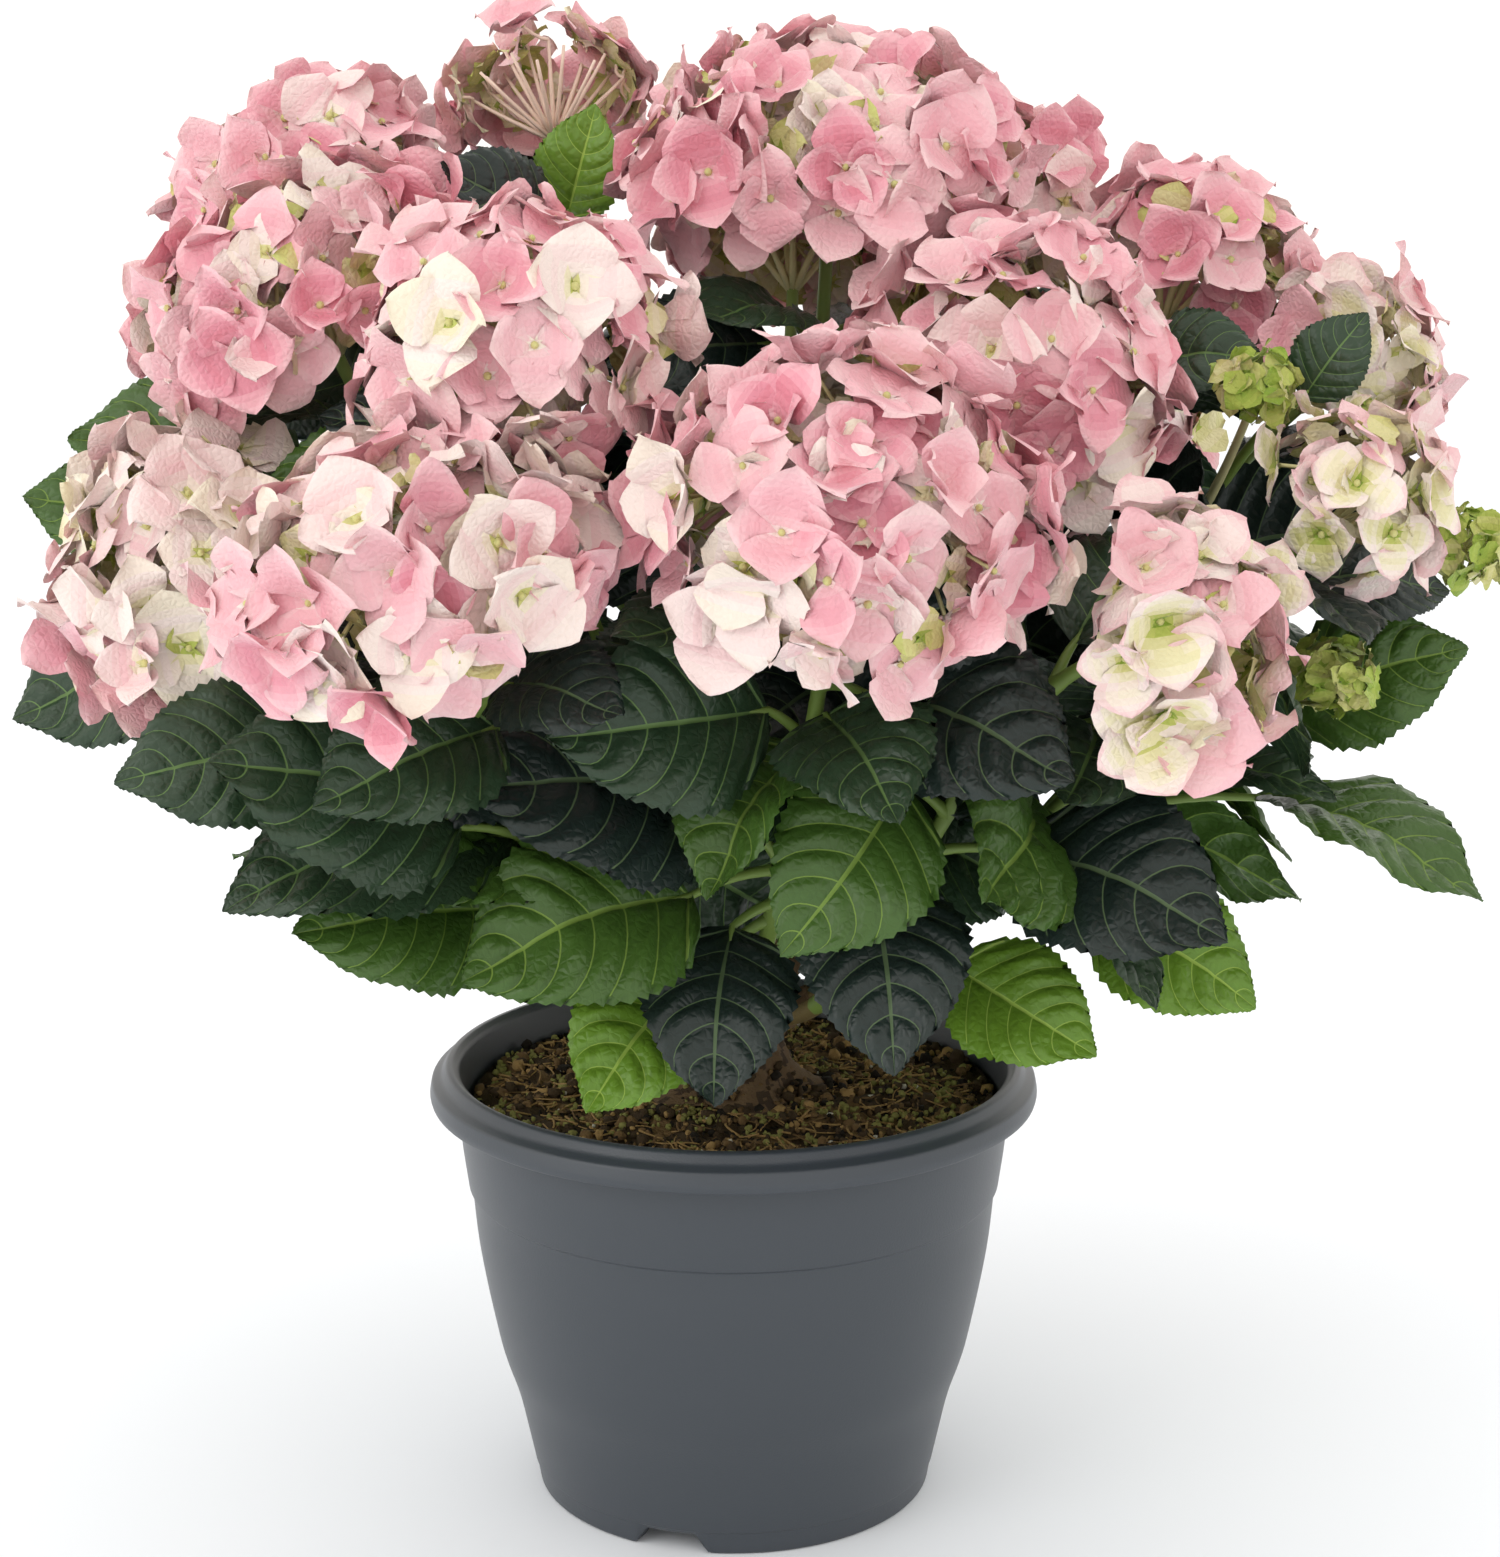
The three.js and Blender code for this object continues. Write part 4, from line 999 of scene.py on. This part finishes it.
def drill_holes(body):
    """Upright drain holes through the base."""
    cutter_mesh = bpy.data.meshes.new("drill")
    points, faces = [], []
    for i in range(DRAIN_COUNT):
        centre = toward((i + 0.5) * 360 / DRAIN_COUNT, 0) * DRAIN_RING
        ends = np.array([centre + UP * (RECESS_HEIGHT - 3), centre + UP * (BASE_TOP + 3)])
        ring, quads = tube(ends, DRAIN_RADIUS, np.array([1.0, 0, 0]), 32)
        faces += [[corner + len(points) for corner in dict.fromkeys(quad)] for quad in quads.tolist()]
        points += (ring * MM).tolist()
    cutter_mesh.from_pydata(points, [], faces)
    cutter = bpy.data.objects.new("drill", cutter_mesh)
    bpy.context.scene.collection.objects.link(cutter)
    cut = body.modifiers.new("drain", "BOOLEAN")
    cut.operation = "DIFFERENCE"
    cut.solver = "EXACT"
    cut.object = cutter
    bpy.context.view_layer.update()
    drilled = bpy.data.meshes.new_from_object(body.evaluated_get(bpy.context.evaluated_depsgraph_get()))
    body.modifiers.clear()
    body.data = drilled
    bpy.data.objects.remove(cutter)
    bpy.data.meshes.remove(cutter_mesh)


def soil_height(x, y):
    distance = np.hypot(x, y)
    lumps = (np.sin(x * 0.11 + 1.3) * np.cos(y * 0.09 - 0.4) + 0.6 * np.sin(x * 0.21 - y * 0.17 + 2.1)
             + 0.4 * np.cos(x * 0.33 + y * 0.29))
    return SOIL_LEVEL + SOIL_LUMP * (0.5 * lumps - 0.9) * smoothstep(distance, 38, 56)


def ground(x, y):
    """Height of what crumbs lie on: the soil, or the flare of the crown near its foot."""
    reach = math.hypot(x, y)
    flare = CROWN_FOOT + np.interp(reach, (19, 21, 27, 34), (12, 9, 3.6, -4))
    return max(soil_height(x, y), flare)


CRUMBS = 3300
FIBRES = 620
CRUMB_SHARES = (0.34, 0.62, 0.78, 0.95)  # of crumbs, summed tone by tone
SOIL_TONES = {
    "soil_dark": (76, 62, 45), "soil_brown": (122, 98, 66), "soil_ochre": (176, 144, 94),
    "soil_black": (42, 37, 31), "moss": (146, 144, 84), "speck": (222, 217, 202),
}
SOIL_DARK, SOIL_BROWN, SOIL_OCHRE, SOIL_BLACK, MOSS, SPECK = range(6)


def level_point(reach, angle):
    return np.array([reach * math.cos(angle), reach * math.sin(angle), 0])


def soil_bed(pile, chance):
    """The lumpy top, with grains of other tones, and the wall and floor of the fill."""
    rings, sides = 70, 180
    radius = np.linspace(0.4, SOIL_RADIUS, rings)
    turn = ring_turns(sides)
    x, y = radius[:, None] * np.cos(turn), radius[:, None] * np.sin(turn)
    z = soil_height(x, y)
    flat = np.stack([x, y, np.zeros_like(x)], axis=-1)
    z = z + 1.5 * value_noise(flat, 5.0, 3) + 0.9 * value_noise(flat, 2.2, 4) - 0.9
    top = np.stack([x, y, z], axis=-1).reshape(-1, 3)
    quads = grid_quads(rings, sides, wrap=True)
    patch = value_noise(top[quads].mean(axis=1) * [1, 1, 0], 9, 8)
    grain = chance.rand(len(quads))
    slots = np.where(patch > 0.3, SOIL_BROWN, SOIL_DARK)
    pile.add(top, quads, np.where(grain > 0.93, SOIL_BLACK, slots))
    wall = [(SOIL_RADIUS, 154.0), (98.2, 126), (91.8, 80), (80.7, 38), (73.2, BASE_TOP + GAP),
            (0.2, BASE_TOP + GAP)]
    side_points = np.array([[r * math.cos(a), r * math.sin(a), h] for r, h in wall for a in turn])
    side_points = np.concatenate([top[-sides:], side_points])
    pile.add(side_points, grid_quads(len(wall) + 1, sides, wrap=True), SOIL_DARK)


def crumbs(pile, chance):
    """Crumbs, a fifth of them close about the crown. Moss grows in patches."""
    base, base_quads = bead(np.zeros(3), 1.0)
    for crumb in range(CRUMBS):
        share = chance.uniform(0.038, 0.19) if crumb < CRUMBS / 5 else chance.uniform(0.1, 1)
        at = level_point(97 * math.sqrt(share), chance.uniform(0, 2 * math.pi))
        at[2] = ground(at[0], at[1]) + 0.2
        mossy = value_noise(at * [1, 1, 0], 13, 17) > 0.16
        size = chance.uniform(0.6, 1.5) if chance.rand() < 0.86 else chance.uniform(1.6, 3.0)
        shape = base * chance.uniform(0.6, 1.25, 3) * (1 + 0.25 * chance.uniform(-1, 1, (len(base), 1)))
        slot = int(np.searchsorted(CRUMB_SHARES, chance.rand(), side="right"))
        if mossy and chance.rand() < 0.72:
            slot, size = MOSS, chance.uniform(0.7, 1.5)
        if chance.rand() < 0.02:
            slot, size = SPECK, chance.uniform(0.6, 1.2)
        pile.add(at + shape * size, base_quads, slot)


def fibres(pile, chance):
    for _ in range(FIBRES):
        reach = 95 * math.sqrt(chance.uniform(0.1, 1))
        start = level_point(reach, chance.uniform(0, 2 * math.pi))
        heading = toward(chance.uniform(0, 360), 0)
        end = start + heading * chance.uniform(4, 13)
        if np.hypot(end[0], end[1]) > 96:
            continue
        middle = (start + end) / 2 + chance.normal(0, 1.6, 3)
        for point in (start, middle, end):
            point[2] = soil_height(point[0], point[1]) + chance.uniform(0.2, 1.4)
        centres = quadratic((start, middle, end), np.linspace(0, 1, 5))
        pile.add(*tube(centres, chance.uniform(0.22, 0.5), np.array([0.2, 0.1, 1.0]), 4),
                 chance.choice([SOIL_BROWN, SOIL_OCHRE, SOIL_OCHRE]))


def soil_piece():
    pile = Pile()
    chance = np.random.RandomState(41)
    soil_bed(pile, chance)
    crumbs(pile, chance)
    fibres(pile, chance)
    return pile


# ---- materials

def linear(colour):
    """Eight-bit sRGB to the linear values that shaders take."""
    values = [channel / 255 for channel in colour]
    return [v / 12.92 if v <= 0.04045 else ((v + 0.055) / 1.055) ** 2.4 for v in values] + [1.0]


def surface(name, colour, roughness, bump=None, specular=0.5, sheen=0.0):
    """A plain colour; bump is (scale, strength, distance, kind) of an even, placeless relief."""
    material = bpy.data.materials.new(name)
    material.use_nodes = True
    tree = material.node_tree
    shader = tree.nodes["Principled BSDF"]
    shader.inputs["Base Color"].default_value = linear(colour)
    shader.inputs["Roughness"].default_value = roughness
    shader.inputs["Metallic"].default_value = 0.0
    shader.inputs["Specular IOR Level"].default_value = specular
    shader.inputs["Sheen Weight"].default_value = sheen
    if bump:
        scale, strength, distance, kind = bump
        place = tree.nodes.new("ShaderNodeTexCoord")
        relief = tree.nodes.new("ShaderNodeBump")
        relief.inputs["Strength"].default_value = strength
        relief.inputs["Distance"].default_value = distance
        if kind == "cells":
            texture = tree.nodes.new("ShaderNodeTexVoronoi")
            texture.feature = "DISTANCE_TO_EDGE"
            height = texture.outputs["Distance"]
        else:
            texture = tree.nodes.new("ShaderNodeTexNoise")
            texture.inputs["Detail"].default_value = 3.0
            height = texture.outputs["Fac"]
        texture.inputs["Scale"].default_value = scale
        tree.links.new(height, relief.inputs["Height"])
        tree.links.new(place.outputs["Object"], texture.inputs["Vector"])
        tree.links.new(relief.outputs["Normal"], shader.inputs["Normal"])
    return material


# Each green with the tone of its veins. Partly the leaves' own greens, partly painted light and shade:
# bright stands for light shining through a leaf, dark for shade.
LEAF_TONES = {
    "dark": ((29, 42, 38), (88, 108, 76)),
    "deep": ((42, 63, 42), (98, 126, 74)),
    "mid": ((64, 95, 36), (118, 146, 66)),
    "bright": ((102, 140, 42), (156, 186, 84)),
}
LEAF_ORDER = list(LEAF_TONES)


def leaf_materials():
    made = []
    for name in LEAF_ORDER:
        blade, vein = LEAF_TONES[name]
        made.append(surface("leaf_" + name, blade, 0.37, (300, 0.5, 0.0011, "cells"), 0.42))
        made.append(surface("vein_" + name, vein, 0.5, None, 0.25))
    return made


def petal_materials():
    return [surface(f"petal_{number}", tone, 0.6, (430, 0.6, 0.0011, "cells"), 0.25, 0.2)
            for number, tone in enumerate(PETAL_TONES)]


def stalk_materials():
    return [surface("stalk_green", (122, 148, 70), 0.5, (500, 0.2, 0.0005, "noise")),
            surface("stalk_pale", (214, 208, 154), 0.55, None),
            surface("stalk_wood", (120, 104, 62), 0.75, (600, 0.5, 0.0008, "noise")),
            surface("stalk_pink", (246, 222, 204), 0.55, None)]


def bark_materials():
    return [surface("bark", (112, 90, 64), 0.85, (700, 0.6, 0.001, "noise")),
            surface("bark_crack", (72, 56, 40), 0.9, (700, 0.6, 0.001, "noise"))]


def soil_materials():
    return [surface(name, tone, 0.92, (900, 0.8, 0.001, "noise"), 0.2)
            for name, tone in SOIL_TONES.items()]


# ---- the plant

def names(prefix):
    return [name for name in sorted(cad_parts) if name.startswith(prefix)]


shoots = [Shoot(row, index, direction)
          for index, (row, direction) in enumerate(zip(SHOOTS, shoot_directions()))]

pot_plastic = surface("pot_plastic", (55, 61, 68), 0.4, (1400, 0.22, 0.0004, "noise"), 0.6)
drill_holes(pot_piece().piece("pot_shell", [pot_plastic], "pot", ["pot"]))
soil_piece().piece("soil_bed", soil_materials(), "soil", ["soil"])
crown_piece(shoots).piece("woody_crown", bark_materials(), "bark", ["crown"])

stalks = Pile()
petal_piles = [Pile(), Pile(), Pile()]
for shoot in shoots:
    shoot_stem(shoot, stalks)
for shoot in shoots:
    bloom(shoot, shoots, petal_piles[shoot.index % 3], stalks)
by_name = {shoot.name: shoot for shoot in shoots}
for number, (name, place, centre, radius) in enumerate(YOUNG_HEADS):
    young_head(by_name[name], place, centre, radius, petal_piles[number], stalks, 50 + number)

leaves = grown_leaves(shoots, by_name)
front, back = Pile(), Pile()
for number, leaf in enumerate(leaves):
    stalks.add(*petiole(leaf), STALK_GREEN)
    points, quads, is_vein = leaf_blade(leaf, 2000 + number)
    tone = 2 * LEAF_ORDER.index(leaf.tone)
    pile = front if number % 2 == 0 else back
    pile.add(points, quads, np.where(is_vein, tone + 1, tone))

looks = petal_materials()
bloom_nodes = names("bloom_")
for number, pile in enumerate(petal_piles):
    pile.piece(f"petals_{number + 1}", looks, "bloom_pink", bloom_nodes[number::3])
greens = leaf_materials()
front.piece("leaves_one", greens, "leaf", names("foliage_")[0::2])
back.piece("leaves_two", greens, "leaf", names("foliage_")[1::2])
stalks.piece("stalks", stalk_materials(), "stem", names("stem_"))

# ---- floor, light and camera


FLOOR_SIZE = 12
LIGHT_AIM = (0, 0, 0.35)
# name, place, size, energy
LIGHTS = [
    ("key", (-1.6, -1.5, 1.75), 1.3, 7.6),
    ("fill", (-1.7, -1.2, 0.7), 1.6, 5),
    ("rim", (0.3, 1.6, 1.6), 1.8, 6),
]
WORLD_COLOUR = (1, 0.97, 0.93, 1)
WORLD_STRENGTH = 1.17
CAMERA_PLACE = (0.0062, -1.089, 0.518)
CAMERA_PITCH = 12.57  # degrees below the horizon
CAMERA_LENS = 69.4
SENSOR = 36.0


def add_stage():
    bpy.ops.mesh.primitive_plane_add(size=FLOOR_SIZE, location=(0, 0, 0))
    floor = bpy.context.object
    floor.name = "floor"
    floor.data.materials.append(surface("floor", (246, 250, 255), 0.9, None, 0.0))


def add_light(name, place, size, energy):
    """A square lamp that faces the plant."""
    lamp = bpy.data.lights.new(name, "AREA")
    lamp.energy = energy
    lamp.size = size
    body = bpy.data.objects.new(name, lamp)
    bpy.context.scene.collection.objects.link(body)
    body.location = place
    direction = unit(np.array(LIGHT_AIM) - np.array(place))
    turn = math.atan2(direction[0], -direction[1]) + math.pi
    body.rotation_euler = (math.acos(-direction[2]), 0, turn)


def add_world():
    world = bpy.data.worlds.new("studio")
    world.use_nodes = True
    background = world.node_tree.nodes["Background"]
    background.inputs["Color"].default_value = WORLD_COLOUR
    background.inputs["Strength"].default_value = WORLD_STRENGTH
    bpy.context.scene.world = world


def add_camera():
    camera = bpy.data.cameras.new("camera")
    camera.lens = CAMERA_LENS
    camera.sensor_width = SENSOR
    camera.sensor_fit = "AUTO"
    camera.clip_start = 0.05
    body = bpy.data.objects.new("camera", camera)
    bpy.context.scene.collection.objects.link(body)
    body.location = CAMERA_PLACE
    body.rotation_euler = (math.radians(90 - CAMERA_PITCH), 0, 0)
    bpy.context.scene.camera = body


add_stage()
add_world()
for light in LIGHTS:
    add_light(*light)
add_camera()
bpy.context.scene.view_settings.view_transform = "Standard"
